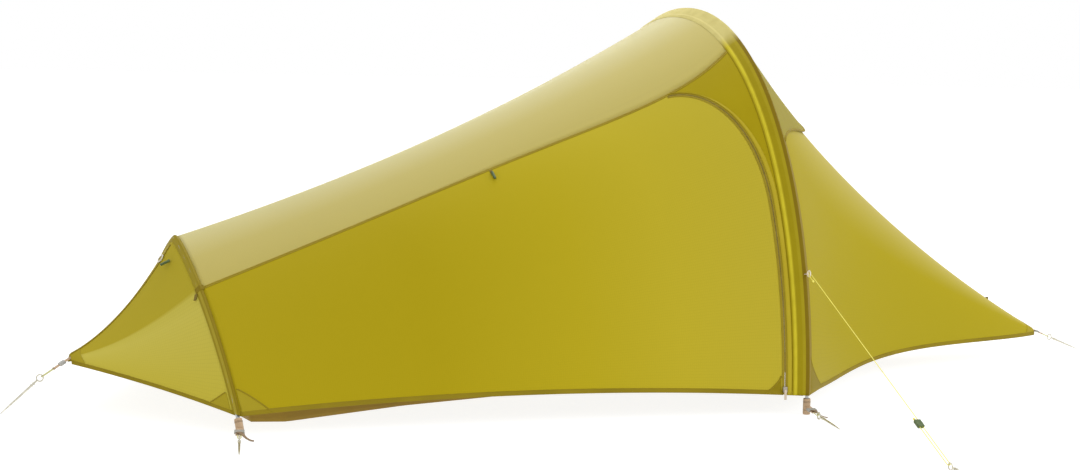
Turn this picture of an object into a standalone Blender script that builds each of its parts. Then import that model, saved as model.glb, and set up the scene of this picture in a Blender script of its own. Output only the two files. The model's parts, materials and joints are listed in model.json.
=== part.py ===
"""One-person tunnel tent: a tall main hoop, a small foot hoop, and a pegged point at each end.

The frame is in metres with +Z up. The origin is on the ground under the middle of the main
hoop, +X runs to the front point and -Y is the side with the door.
"""
import math

import bmesh
import bpy
import numpy as np
from mathutils import Vector
from mathutils.bvhtree import BVHTree

# Hoops and points of the fly
HOOP_SPACING = 1.467
MAIN_HALF_WIDTH = 0.664
MAIN_HEIGHT = 1.050
MAIN_SQUARENESS = 2.08
FOOT_HALF_WIDTH = 0.464
FOOT_HEIGHT = 0.432
FOOT_LEAN = -0.053
FOOT_SQUARENESS = 1.27
FRONT_REACH = 1.332
FRONT_TIP_HEIGHT = 0.060
REAR_REACH = 0.286
REAR_TIP_HEIGHT = 0.121
TIP_HALF_WIDTH = 0.020
TIP_RISE = 0.022

# Cut of the fly: how far the cloth is drawn in from straight lines between the hoops
HEM_HEIGHT = 0.050
SEAM_SHARE = 0.40
SEAM_DIP = 0.068
SEAM_DIP_PEAK = 0.83
TUNNEL_RIDGE_SAG = 0.044
TUNNEL_HEM_RISE = 0.022
TUNNEL_HEM_DRAW = 0.030
FRONT_RIDGE_SAG = 0.080
FRONT_HEM_RISE = 0.006
FRONT_HEM_DRAW = 0.150
FRONT_HEM_PEAK = 0.58
REAR_RIDGE_SAG = 0.040
REAR_HEM_RISE = 0.006
REAR_HEM_DRAW = 0.012
FABRIC = 0.0012
SEAM_GAP = 0.0012
SKIN_DEPTH = 0.0040

# Door in the near wall, with a zip that rises by the main hoop and bends along the seam
DOOR_HINGE_LOW = 0.66
DOOR_HINGE_TOP = 0.800
ZIP_SETBACK = 0.062
ZIP_BEND_START = 0.521
ZIP_BEND_SPAN = 0.205
ZIP_HALF_WIDTH = 0.006
SLIDER_SIZE = (0.011, 0.005, 0.014)
SLIDER_LIFT = 0.0006
SLIDER_START = 0.014
PULL_SIZE = (0.007, 0.0016, 0.026)
TIE_X = 0.755
TIE_GAP = 0.0006
TIE_DROP = 0.016
TOGGLE_RADIUS = 0.0035
TOGGLE_LENGTH = 0.026
FOOT_RING_RADIUS = 0.010

# Vent over the front apse
HOOD_REACH = 0.375
HOOD_POINT = 1.4
HOOD_BASE_LIFT = 0.0018
HOOD_LIP_LIFT = 0.0045
HOOD_LIFT = 0.031
HOOD_CORNER = 0.66
VENT_OVERLAP = 0.055
MESH_DEPTH = 0.0018
PROP_SIZE = (0.0020, 0.012)

# Poles and their sleeves
POLE_RADIUS = 0.0045
SPIGOT_RADIUS = 0.0033
SPIGOT_LENGTH = 0.050
SPIGOT_BORE = 0.0022
SHOCK_CORD_RADIUS = 0.0016
TIP_LENGTH = 0.022
TIP_RADIUS = 0.0030
MAIN_SECTIONS = 6
FOOT_SECTIONS = 3
SLEEVE_RADIUS = 0.0115
SLEEVE_WALL = 0.0015
SLEEVE_START = 0.066
POCKET_RADIUS = 0.0095
POCKET_LENGTH = 0.042
POCKET_FLOOR = 0.006
GROUND_GAP = 0.0002
CLEARANCE = 0.0003
ROUND_SIDES = 8
MAIN_SEGMENTS = 44
FOOT_SEGMENTS = 26
KNOT_REACH = 0.003

# Inner tent: plan stations as x, near edge, far edge and top height
INNER_STATIONS = (
    (-1.385, -0.290, 0.290, 0.215),
    (-1.310, -0.316, 0.345, 0.385),
    (-0.950, -0.215, 0.440, 0.560),
    (-0.500, -0.150, 0.530, 0.755),
    (-0.060, -0.108, 0.590, 0.950),
    (0.340, -0.085, 0.240, 0.610),
)
TUB_HEIGHT = 0.060
TUB_SHEET = 0.0015
TUB_SPLAY = 0.010
RIM_GAP = 0.0010
FOOT_RISE = 0.0006
HANGER_RADIUS = 0.0015
INNER_CLOTH = 0.0012
INNER_PEAK_Y = 0.020
INNER_POWERS = (1.50, 1.00)
ENTRANCE = (-0.950, -0.060)
ENTRANCE_ROWS = (1, 6)
HANGER_STATIONS = (1, 2, 3, 4)
ROLL_RADIUS = 0.016

# Anchors: webbing with a sliding adjuster, a cord loop and a peg
WEBBING_WIDTH = 0.018
WEBBING_THICKNESS = 0.0014
CORNER_REACH = 0.078
ADJUSTER_SIZE = (0.016, 0.024, 0.0052)
LOOP_CORD_RADIUS = 0.0012
LOOP_LENGTH = 0.016
LOOP_SEWN = 0.004
LOOP_HALF_WIDTH = 0.0040
TIP_LOOP_LENGTH = 0.030
CORNER_OUT_FRONT = (-0.20, -0.98)
CORNER_OUT_REAR = (-0.33, -0.94)
FRONT_RING = (0.082, 0.030)
REAR_RING = (0.074, 0.046)
PEG_RING_RADIUS = 0.0085
PEG_WIRE_RADIUS = 0.0018
PEG_LENGTH = 0.130
PEG_SHAFT_RADIUS = 0.0030
PEG_TIP_RADIUS = 0.0008
PEG_COLLAR_RADIUS = 0.0042

# Guyline on the near side of the main hoop
GUY_HEIGHT = 0.363
GUY_END = (-0.095, -1.350)
GUY_CORD_RADIUS = 0.0010
GUY_RING_RADIUS = 0.0075
GUY_STRAND_GAP = 0.0084
TENSIONER_SHARE = 0.80
TENSIONER_SIZE = (0.024, 0.016, 0.008)


def normalised(vector):
    return vector / np.linalg.norm(vector, axis=-1, keepdims=True)


def swell(share, peak):
    """Curve that leaves 0 at both ends and reaches 1 at its peak."""
    share = np.clip(share, 0.0, 1.0)
    power = peak / (1 - peak)
    return share**power * (1 - share) / (peak**power * (1 - peak))


class Hoop:
    """An arch with a superellipse outline, walked by distance from its near foot."""

    def __init__(self, station, half_width, height, lean, squareness, segments):
        angle = np.linspace(0.0, math.pi, 2001)
        y = -half_width * np.sign(np.cos(angle)) * np.abs(np.cos(angle)) ** (2 / squareness)
        z = height * np.abs(np.sin(angle)) ** (2 / squareness)
        outline = np.stack([station + lean * z, y, z], 1)
        walked = np.concatenate([[0.0], np.cumsum(np.linalg.norm(np.diff(outline, axis=0), axis=1))])
        self.half_width = half_width
        self.height = height
        self.length = float(walked[-1])
        self.hem = float(np.interp(HEM_HEIGHT, z[:1000], walked[:1000]))
        self.seam = float(np.interp(-SEAM_SHARE * half_width, y, walked))
        self.knots = np.linspace(0.0, self.length, segments + 1)
        self.points = np.stack([np.interp(self.knots, walked, outline[:, i]) for i in range(3)], 1)
        self.across = normalised(np.array([1.0, 0.0, -lean]))
        self.runs = normalised(np.diff(self.points, axis=0))
        before = np.vstack([self.runs[:1], self.runs])
        after = np.vstack([self.runs, self.runs[-1:]])
        inward = np.cross(normalised(before + after), self.across)
        turn = np.clip((before * after).sum(1), -1, 1)
        self.inward = inward / np.sqrt((1 + turn) / 2)[:, None]

    def at(self, distance, depth):
        """Point at a distance along the hoop and a depth inside its outline."""
        shifted = self.points + depth * self.inward
        return np.stack([np.interp(distance, self.knots, shifted[:, i]) for i in range(3)], -1)

    def inward_at(self, distance):
        """Inward direction of a ring round the hoop, which is mitred at a knot."""
        knot = int(np.argmin(np.abs(self.knots - distance)))
        if abs(self.knots[knot] - distance) < KNOT_REACH:
            return self.inward[knot]
        segment = int(np.clip(np.searchsorted(self.knots, distance) - 1, 0, len(self.runs) - 1))
        return np.cross(self.runs[segment], self.across)

    def stops_between(self, start, end):
        """Knots strictly between two distances, in the order of travel."""
        low, high = min(start, end) + KNOT_REACH, max(start, end) - KNOT_REACH
        knots = self.knots[(self.knots > low) & (self.knots < high)]
        return knots if end > start else knots[::-1]


main_hoop = Hoop(0.0, MAIN_HALF_WIDTH, MAIN_HEIGHT, 0.0, MAIN_SQUARENESS, MAIN_SEGMENTS)
foot_hoop = Hoop(-HOOP_SPACING, FOOT_HALF_WIDTH, FOOT_HEIGHT, FOOT_LEAN, FOOT_SQUARENESS, FOOT_SEGMENTS)
SLEEVE_INSIDE = (SLEEVE_RADIUS - SLEEVE_WALL) * math.cos(math.pi / ROUND_SIDES)
POLE_DEPTH = SLEEVE_RADIUS - SLEEVE_INSIDE + CLEARANCE + POLE_RADIUS
WALL_LENGTH = main_hoop.seam - main_hoop.hem
NEAR_HEM, NEAR_SEAM, RIDGE, FAR_SEAM, FAR_HEM = 0.0, 1.0, 2.0, 3.0, 4.0
UP = np.array([0.0, 0.0, 1.0])


def girth_point(hoop, girth):
    """Point of the fly on a hoop: girth 0 is the near hem, 2 the ridge and 4 the far hem."""
    stops = [hoop.hem, hoop.seam, hoop.length / 2, hoop.length - hoop.seam, hoop.length - hoop.hem]
    distance = np.interp(girth, [NEAR_HEM, NEAR_SEAM, RIDGE, FAR_SEAM, FAR_HEM], stops)
    return hoop.at(distance, SKIN_DEPTH)


def tip_point(hoop, girth, x, height):
    """The hoop's outline shrunk to the small rounded end of an apse."""
    point = girth_point(hoop, girth)
    y = point[..., 1] * TIP_HALF_WIDTH / hoop.half_width
    z = height + (point[..., 2] - HEM_HEIGHT) * TIP_RISE / (hoop.height - HEM_HEIGHT)
    return np.stack([np.full_like(y, x), y, z], -1)


def drape(start_of, end_of, share, girth, ridge_sag, hem_rise, hem_draw, hem_peak=0.5):
    """Straight lines between two outlines, drawn in between them as tensioned cloth is."""
    share = np.asarray(share, float)
    start, end = start_of(girth), end_of(girth)
    point = start + (end - start) * share[..., None]
    low = start_of(NEAR_HEM)[2] * (1 - share) + end_of(NEAR_HEM)[2] * share
    top = start_of(RIDGE)[2] * (1 - share) + end_of(RIDGE)[2] * share
    rise = np.clip((point[..., 2] - low) / (top - low), 0, 1)
    point[..., 2] += hem_rise * swell(share, hem_peak) * (1 - rise) - ridge_sag * swell(share, 0.5) * rise
    reach = abs(start_of(NEAR_HEM)[1]) * (1 - hem_peak) + abs(end_of(NEAR_HEM)[1]) * hem_peak
    point[..., 1] *= 1 - swell(share, hem_peak) * hem_draw / reach
    return point


def tunnel(share, girth):
    """Fly between the foot hoop (share 0) and the main hoop (share 1)."""
    return drape(
        lambda g: girth_point(foot_hoop, g),
        lambda g: girth_point(main_hoop, g),
        share, girth, TUNNEL_RIDGE_SAG, TUNNEL_HEM_RISE, TUNNEL_HEM_DRAW,
    )


def front(share, girth):
    """Fly between the main hoop (share 0) and the front point (share 1)."""
    return drape(
        lambda g: girth_point(main_hoop, g),
        lambda g: tip_point(main_hoop, g, FRONT_REACH, FRONT_TIP_HEIGHT),
        share, girth, FRONT_RIDGE_SAG, FRONT_HEM_RISE, FRONT_HEM_DRAW, FRONT_HEM_PEAK,
    )


def rear(share, girth):
    """Fly between the foot hoop (share 0) and the rear point (share 1)."""
    return drape(
        lambda g: girth_point(foot_hoop, g),
        lambda g: tip_point(foot_hoop, g, -HOOP_SPACING - REAR_REACH, REAR_TIP_HEIGHT),
        share, girth, REAR_RIDGE_SAG, REAR_HEM_RISE, REAR_HEM_DRAW,
    )


def seam_girth(share):
    """Girth of the near seam between wall and roof, which dips before the main hoop."""
    return NEAR_SEAM - SEAM_DIP / WALL_LENGTH * swell(np.asarray(share, float), SEAM_DIP_PEAK)


SLEEVE_CLEAR = 0.0113
FOOT_CLEAR = 0.0088
APSE_CLEAR = 0.0121
REAR_CLEAR = 0.0106
MESH_CLEAR = 0.0134
SLEEVE_FLAT = SLEEVE_RADIUS * (1 - math.cos(math.pi / ROUND_SIDES))
ZIP_X = HOOP_SPACING - ZIP_SETBACK
FLY_START, FLY_END = FOOT_CLEAR, HOOP_SPACING - SLEEVE_CLEAR

# Materials as slot: colour, roughness, metallic
MATERIALS = {
    "wall_cloth": ((0.46, 0.36, 0.018), 0.65, 0.0),
    "roof_cloth": ((0.55, 0.47, 0.15), 0.65, 0.0),
    "sleeve_cloth": ((0.44, 0.34, 0.03), 0.70, 0.0),
    "zip_tape": ((0.38, 0.27, 0.03), 0.60, 0.0),
    "mesh_cloth": ((0.10, 0.09, 0.05), 0.80, 0.0),
    "pole_alloy": ((0.62, 0.60, 0.56), 0.30, 1.0),
    "shock_cord": ((0.05, 0.05, 0.05), 0.80, 0.0),
    "webbing": ((0.17, 0.09, 0.04), 0.80, 0.0),
    "hardware_plastic": ((0.32, 0.31, 0.29), 0.45, 0.0),
    "toggle_plastic": ((0.06, 0.13, 0.03), 0.45, 0.0),
    "peg_alloy": ((0.55, 0.54, 0.50), 0.35, 1.0),
    "guy_cord": ((0.75, 0.72, 0.35), 0.75, 0.0),
    "ground_cloth": ((0.25, 0.14, 0.014), 0.60, 0.0),
    "inner_cloth": ((0.74, 0.70, 0.52), 0.75, 0.0),
}

for leftover in list(bpy.data.objects):
    bpy.data.objects.remove(leftover, do_unlink=True)
parts = bpy.data.collections.new("backpacking_tent")
cutters = bpy.data.collections.new("cutters")
for collection in (parts, cutters):
    bpy.context.scene.collection.children.link(collection)


def material(slot):
    if slot in bpy.data.materials:
        return bpy.data.materials[slot]
    colour, roughness, metallic = MATERIALS[slot]
    made = bpy.data.materials.new(slot)
    made.use_nodes = True
    shader = made.node_tree.nodes["Principled BSDF"]
    shader.inputs["Base Color"].default_value = (*colour, 1.0)
    shader.inputs["Roughness"].default_value = roughness
    shader.inputs["Metallic"].default_value = metallic
    made.diffuse_color = (*colour, 1.0)
    return made


def keep(name, points, faces, slot, solid=True, collection=parts):
    """Makes an object from points and faces; a solid one gets its faces turned outwards."""
    mesh = bpy.data.meshes.new(name)
    mesh.from_pydata([tuple(map(float, p)) for p in points], [], [tuple(map(int, f)) for f in faces])
    if solid:
        shape = bmesh.new()
        shape.from_mesh(mesh)
        bmesh.ops.recalc_face_normals(shape, faces=shape.faces)
        shape.to_mesh(mesh)
        shape.free()
    mesh.update()
    made = bpy.data.objects.new(name, mesh)
    made.data.materials.append(material(slot))
    collection.objects.link(made)
    return made


def join(body, others):
    """Unites a body with other closed shapes."""
    for other in others:
        other.display_type = "WIRE"
        other.hide_render = True
        union = body.modifiers.new("with " + other.name, "BOOLEAN")
        union.operation = "UNION"
        union.solver = "EXACT"
        union.object = other
    return body


def cloth(name, grid, slot, thickness=FABRIC, left_out=None):
    """A panel from a grid of points on its outer side, thickened towards the inside of the tent."""
    rows, columns = grid.shape[:2]
    cells = [(i, k) for i in range(rows - 1) for k in range(columns - 1) if not (left_out and left_out(i, k))]
    faces = np.array([(i * columns + k, i * columns + k + 1, (i + 1) * columns + k + 1, (i + 1) * columns + k)
                      for i, k in cells])
    used, faces = np.unique(faces, return_inverse=True)
    faces = faces.reshape(-1, 4)
    points = grid.reshape(-1, 3)[used]
    quads = points[faces]
    normals = np.cross(quads[:, 2] - quads[:, 0], quads[:, 3] - quads[:, 1])
    outwards = quads.mean(1) - np.array([0.0, 0.0, 0.02])
    outwards[:, 0] = 0.0
    if (normals * outwards).sum() < 0:
        faces = faces[:, ::-1]
    made = keep(name, points, faces, slot, solid=False)
    thick = made.modifiers.new("cloth thickness", "SOLIDIFY")
    thick.thickness = thickness
    thick.offset = -1.0
    thick.use_even_offset = True
    return made


def touch(made, place, out):
    """Point of a cloth panel's outer side that lies under a place."""
    mesh = made.data
    tree = BVHTree.FromPolygons([v.co for v in mesh.vertices], [tuple(p.vertices) for p in mesh.polygons])
    hit = tree.ray_cast(Vector(place + 0.05 * out), Vector(-out))[0]
    return np.array(hit or tree.find_nearest(Vector(place))[0])


def loft(rings, closed=False):
    """Points and faces of a skin through rings with the same number of points."""
    count, total = len(rings[0]), len(rings)
    faces = []
    for i in range(total if closed else total - 1):
        a, b = i * count, (i + 1) % total * count
        faces += [(a + k, a + (k + 1) % count, b + (k + 1) % count, b + k) for k in range(count)]
    if not closed:
        faces += [tuple(range(count)), tuple(range((total - 1) * count, total * count))]
    return np.concatenate(rings), faces


def ring(centre, first, second, radius, sides=ROUND_SIDES):
    """Regular polygon round a centre with flats towards its two directions."""
    turn = (np.arange(sides) + 0.5) * 2 * math.pi / sides
    return centre + radius * (np.cos(turn)[:, None] * first + np.sin(turn)[:, None] * second)


def bore(radius, sides=ROUND_SIDES):
    """Corner radius of a polygon bore whose flats stay a clearance off a round part."""
    return (radius + CLEARANCE) / math.cos(math.pi / sides)


def along_hoop(hoop, depth, profile, closed=False):
    """Rings round a line inside a hoop for a profile of distances and radii."""
    rings = []
    pairs = list(zip(profile, profile[1:] + profile[:1]))
    for (distance, radius), (after, _) in pairs if closed else pairs[:-1]:
        stops = [distance] + list(hoop.stops_between(distance, after))
        rings += [ring(hoop.at(s, depth), hoop.inward_at(s), hoop.across, radius) for s in stops]
    if not closed:
        distance, radius = profile[-1]
        rings.append(ring(hoop.at(distance, depth), hoop.inward_at(distance), hoop.across, radius))
    return loft(rings, closed)


def turned(name, start, axis, profile, slot, collection=parts, sides=ROUND_SIDES):
    """A round body about an axis, from a profile of distances and radii."""
    first = normalised(np.cross(axis, UP if abs(axis[2]) < 0.9 else np.array([1.0, 0.0, 0.0])))
    second = np.cross(axis, first)
    points, faces = loft([ring(start + axis * s, first, second, r, sides) for s, r in profile])
    return keep(name, points, faces, slot, collection=collection)


def torus(name, centre, first, second, radius, wire, slot, collection=parts, turns=16, sides=ROUND_SIDES):
    """A wire ring in the plane of two directions."""
    side = np.cross(first, second)
    rings = []
    for k in range(turns):
        angle = 2 * math.pi * k / turns
        out = math.cos(angle) * first + math.sin(angle) * second
        rings.append(ring(centre + radius * out, out, side, wire, sides))
    points, faces = loft(rings, closed=True)
    return keep(name, points, faces, slot, collection=collection)


def block(name, centre, length, width, height, slot, collection=parts, tunnels=()):
    """A block from three half-length vectors, with straight holes given as offset and half sizes."""
    def corners(at, w, h):
        return np.array([at + w + h, at - w + h, at - w - h, at + w - h])
    points, faces = loft([corners(centre - length, width, height), corners(centre + length, width, height)])
    made = keep(name, points, faces, slot, collection=collection)
    for index, (offset, w, h) in enumerate(tunnels):
        middle = centre + offset
        points, faces = loft([corners(middle - 2 * length, w, h), corners(middle + 2 * length, w, h)])
        cutter = keep(f"{name}_slot_{index + 1}", points, faces, slot, collection=cutters)
        cutter.display_type = "WIRE"
        cutter.hide_render = True
        cut = made.modifiers.new("slot", "BOOLEAN")
        cut.operation = "DIFFERENCE"
        cut.solver = "EXACT"
        cut.object = cutter
    return made


def cord(name, points, radius, slot, collection=parts, detail=1):
    """A round cord through points, made with a curve bevel that has closed ends."""
    curve = bpy.data.curves.new(name + "_line", "CURVE")
    curve.dimensions = "3D"
    curve.bevel_depth = radius
    curve.bevel_resolution = detail
    curve.use_fill_caps = True
    spline = curve.splines.new("POLY")
    spline.points.add(len(points) - 1)
    for point, place in zip(spline.points, points):
        point.co = (*map(float, place), 1.0)
    line = bpy.data.objects.new(name + "_line", curve)
    bpy.context.scene.collection.objects.link(line)
    bpy.context.view_layer.update()
    mesh = bpy.data.meshes.new_from_object(line.evaluated_get(bpy.context.evaluated_depsgraph_get()))
    bpy.data.objects.remove(line, do_unlink=True)
    shape = bmesh.new()
    shape.from_mesh(mesh)
    bmesh.ops.remove_doubles(shape, verts=shape.verts, dist=0.00005)
    bmesh.ops.recalc_face_normals(shape, faces=shape.faces)
    shape.to_mesh(mesh)
    shape.free()
    mesh.materials.clear()
    mesh.name = name
    made = bpy.data.objects.new(name, mesh)
    mesh.materials.append(material(slot))
    collection.objects.link(made)
    return made


# Flat cut of the near wall: x from the foot hoop, r up from the hem
def wall(x, r):
    return tunnel(np.asarray(x, float) / HOOP_SPACING, np.asarray(r, float) / WALL_LENGTH)


def wall_out(x, r):
    """Outward direction of the near wall."""
    step = 0.004
    along = wall(x + step, r) - wall(x - step, r)
    up = wall(x, r + step) - wall(x, max(r - step, 0.0))
    return normalised(np.cross(along, up))


def seam_height(x, offset=0.0):
    """Flat height of the near seam, moved up by an offset measured on the cloth."""
    share = np.asarray(x, float) / HOOP_SPACING
    stretch = ((foot_hoop.seam - foot_hoop.hem) * (1 - share) + WALL_LENGTH * share) / WALL_LENGTH
    return seam_girth(share) * WALL_LENGTH + offset / stretch


ZIP_TOP_X = ZIP_X - ZIP_BEND_SPAN
ZIP_BEND_RISE = float(seam_height(ZIP_TOP_X)) - ZIP_BEND_START
ZIP_LAST_TURN = math.asin(1 - (ZIP_HALF_WIDTH + SEAM_GAP) / ZIP_BEND_RISE)


def zip_line(offset):
    """Flat line of the zip from the hem to its end at the seam, set off towards the main hoop."""
    line = [(ZIP_X + offset, r) for r in np.linspace(0.0, ZIP_BEND_START, 11)[:-1]]
    for turn in np.linspace(0.0, ZIP_LAST_TURN, 8):
        centre = np.array([ZIP_X - ZIP_BEND_SPAN * (1 - math.cos(turn)), ZIP_BEND_START + ZIP_BEND_RISE * math.sin(turn)])
        run = normalised(np.array([-ZIP_BEND_SPAN * math.sin(turn), ZIP_BEND_RISE * math.cos(turn)]))
        line.append(centre + offset * np.array([run[1], -run[0]]))
    return np.array(line)


zip_centre = zip_line(0.0)
zip_end_x = float(zip_centre[-1][0])
near_x = np.linspace(FLY_START, DOOR_HINGE_TOP, 8)
door_x = np.linspace(DOOR_HINGE_TOP, zip_end_x - 0.002, 6)
surround_x = np.linspace(zip_end_x, FLY_END, 4)
roof_x = np.concatenate([near_x, door_x[1:-1], surround_x])
half_gap = SEAM_GAP / 2
hinge_height = float(seam_height(DOOR_HINGE_TOP, -half_gap))


def hinge_x(share):
    return DOOR_HINGE_LOW + (DOOR_HINGE_TOP - DOOR_HINGE_LOW) * share


# Walls and roof between the hoops
top = seam_height(near_x, -half_gap)
columns = np.linspace(0.0, 1.0, len(near_x))
rows = []
for f in np.linspace(0.0, 1.0, 11):
    x = FLY_START + (hinge_x(f) - half_gap - FLY_START) * columns
    straight = top[0] + (hinge_height - top[0]) * columns
    rows.append(wall(x, f * straight + f**3 * (top - straight)))
near_wall = cloth("near_wall", np.array(rows), "wall_cloth")

door_edge = zip_line(-ZIP_HALF_WIDTH - 0.0008)
columns = np.linspace(0.0, 1.0, len(door_x))
rows = []
for x_end, r_end in door_edge:
    f = r_end / float(seam_height(zip_end_x, -half_gap))
    x_start = hinge_x(f) + half_gap
    rows.append(wall(x_start + (x_end - x_start) * columns, f * hinge_height + (r_end - f * hinge_height) * columns))
door_top = np.concatenate([[DOOR_HINGE_TOP + half_gap], door_x[1:]])
rows.append(wall(door_top, seam_height(door_top, -half_gap)))
cloth("door_panel", np.array(rows), "wall_cloth")

surround_edge = zip_line(ZIP_HALF_WIDTH + 0.0008)
rows = []
columns = np.linspace(0.0, 1.0, len(surround_x))
end_height = float(seam_height(FLY_END, -half_gap))
for x_start, r_start in surround_edge[:-1]:
    r_finish = end_height * r_start / surround_edge[-1][1]
    rows.append(wall(x_start + (FLY_END - x_start) * columns, r_start + (r_finish - r_start) * columns))
top_x = np.concatenate([[surround_edge[-1][0]], surround_x[1:]])
rows.append(wall(top_x, np.minimum(seam_height(top_x, -half_gap), np.r_[surround_edge[-1][1], [9, 9, 9]])))
cloth("door_surround", np.array(rows), "wall_cloth")

track = [zip_line(side) for side in (-ZIP_HALF_WIDTH, ZIP_HALF_WIDTH)]
zip_track = cloth("zip_track", np.stack([wall(line[:, 0], line[:, 1]) for line in track]), "zip_tape")

low_girth = seam_height(roof_x, half_gap) / WALL_LENGTH
across = np.linspace(0.0, 1.0, 11)
roof = cloth("roof_panel",
             np.array([tunnel(roof_x / HOOP_SPACING, low_girth + (4 - 2 * low_girth) * t) for t in across]),
             "roof_cloth")
far_girth = 4 - seam_height(roof_x, -half_gap) / WALL_LENGTH
cloth("far_wall", np.array([tunnel(roof_x / HOOP_SPACING, far_girth + (FAR_HEM - far_girth) * t) for t in across]),
      "wall_cloth")


# Apses: each has a seam along its ridge
def ridge_gap(hoop, share):
    """Half the ridge seam's gap as a girth, which grows as the apse narrows."""
    wide = hoop.length / 2 - hoop.seam
    return half_gap / (wide * (1 - share) + wide * TIP_HALF_WIDTH / hoop.half_width * share)


def vent_lip(girth):
    """Share of the front apse that the hood reaches: its lip is nearly level from corner to corner."""
    corner = girth_point(main_hoop, HOOD_CORNER - 0.01)[2]
    heights = np.stack(np.broadcast_arrays(girth_point(main_hoop, girth)[..., 2], girth_point(main_hoop, RIDGE)[2]))
    rises = np.clip((heights - corner) / (heights - FRONT_TIP_HEIGHT), 0.0, 1.0)
    return FRONT_START + HOOD_REACH / FRONT_REACH * (rises[0] / rises[1]) ** HOOD_POINT


FRONT_START = APSE_CLEAR / FRONT_REACH
REAR_START = REAR_CLEAR / REAR_REACH
low_rows = np.linspace(0.0, HOOD_CORNER, 6)
hood_half = np.concatenate([np.linspace(HOOD_CORNER, NEAR_SEAM, 7), np.linspace(NEAR_SEAM, RIDGE, 6)[1:]])


def apse(surface, hoop, girths, starts, columns):
    """Near half of an apse; the last row stops short of the ridge."""
    rows = []
    for girth, start in zip(girths, starts):
        share = start + (1 - start) * np.linspace(0.0, 1.0, columns)
        at = np.full(columns, girth)
        if girth == RIDGE:
            at = at - ridge_gap(hoop, share)
        rows.append(surface(share, at))
    return np.array(rows)


def far_half(grid):
    return grid * np.array([1.0, -1.0, 1.0])


front_girths = np.concatenate([low_rows[:-1], hood_half])
vent_edge = np.maximum(FRONT_START, vent_lip(front_girths) - VENT_OVERLAP / FRONT_REACH)
vent_edge[front_girths < HOOD_CORNER] = FRONT_START
front_half = apse(front, main_hoop, front_girths, vent_edge, 11)
cloth("front_apse_near", front_half, "wall_cloth")
cloth("front_apse_far", far_half(front_half), "wall_cloth")
rear_girths = np.linspace(NEAR_HEM, RIDGE, 9)
rear_half = apse(rear, foot_hoop, rear_girths, np.full(9, REAR_START), 6)
rear_near = cloth("rear_apse_near", rear_half, "wall_cloth")
cloth("rear_apse_far", far_half(rear_half), "wall_cloth")


# Vent: a hood that stands off the apse, mesh under it and a prop that holds it up
def front_out(share, girth):
    """Outward direction of the front apse."""
    step = 0.004
    along = front(share + step, girth) - front(share - step, girth)
    up = front(share, girth + step) - front(share, girth - step)
    return normalised(np.cross(along, up))


hood_girths = np.concatenate([hood_half, 4 - hood_half[-2::-1]])
hood_rows, mesh_rows = [], []
for girth in hood_girths:
    lip = float(vent_lip(girth))
    peak = 1 - abs(RIDGE - girth) / (RIDGE - HOOD_CORNER)
    lift = HOOD_BASE_LIFT + (HOOD_LIP_LIFT - HOOD_BASE_LIFT) * (lip - FRONT_START) * FRONT_REACH / HOOD_REACH
    lift += (HOOD_LIFT - HOOD_LIP_LIFT) * peak**3
    base = front(FRONT_START, girth) + HOOD_BASE_LIFT * front_out(FRONT_START, girth)
    rim = front(lip, girth) + lift * front_out(lip, girth)
    hood_rows.append([base + (rim - base) * t for t in np.linspace(0.0, 1.0, 5)])
    begin, end = MESH_CLEAR / FRONT_REACH, max(FRONT_START, lip - VENT_OVERLAP / FRONT_REACH) + 0.0080
    shares = begin + (end - begin) * np.linspace(0.0, 1.0, 4)
    mesh_rows.append([front(share, girth) - (FABRIC + 0.0012) * front_out(share, girth) for share in shares])
cloth("vent_hood", np.array(hood_rows), "roof_cloth")
cloth("vent_mesh", np.array(mesh_rows), "mesh_cloth", thickness=0.0010)

prop_share = float(vent_lip(RIDGE)) - VENT_OVERLAP / FRONT_REACH + 0.006
prop_out = front_out(prop_share, RIDGE)
prop_along = normalised(np.cross(np.array([0.0, 1.0, 0.0]), prop_out))
prop_foot = front(prop_share, RIDGE) + prop_out * 0.0010
ridge_start, ridge_end = hood_rows[len(hood_rows) // 2][0], hood_rows[len(hood_rows) // 2][-1]
hood_height = np.linalg.solve(np.stack([prop_out, ridge_start - ridge_end], 1)[[0, 2]], (ridge_start - prop_foot)[[0, 2]])[0]
prop_lift = hood_height - FABRIC - 0.0032
block("vent_prop", prop_foot + prop_out * prop_lift / 2, prop_out * prop_lift / 2, np.array([0.0, PROP_SIZE[1] / 2, 0.0]),
      prop_along * PROP_SIZE[0] / 2, "hardware_plastic")


# Hoops: pockets, pole sections, shock cord and sleeves
def pocket_base(hoop):
    """Distance at which a pocket's lower rim just clears the ground."""
    inward = hoop.inward_at(hoop.knots[1] / 2)
    reach = POCKET_RADIUS * (abs(inward[2]) + abs(hoop.across[2]))
    return float((GROUND_GAP + reach - hoop.at(0.0, POLE_DEPTH)[2]) / hoop.runs[0][2])


def pole_start(hoop):
    """Distance at which the full pole starts above its tip."""
    return pocket_base(hoop) + POCKET_FLOOR + CLEARANCE + TIP_LENGTH


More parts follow.
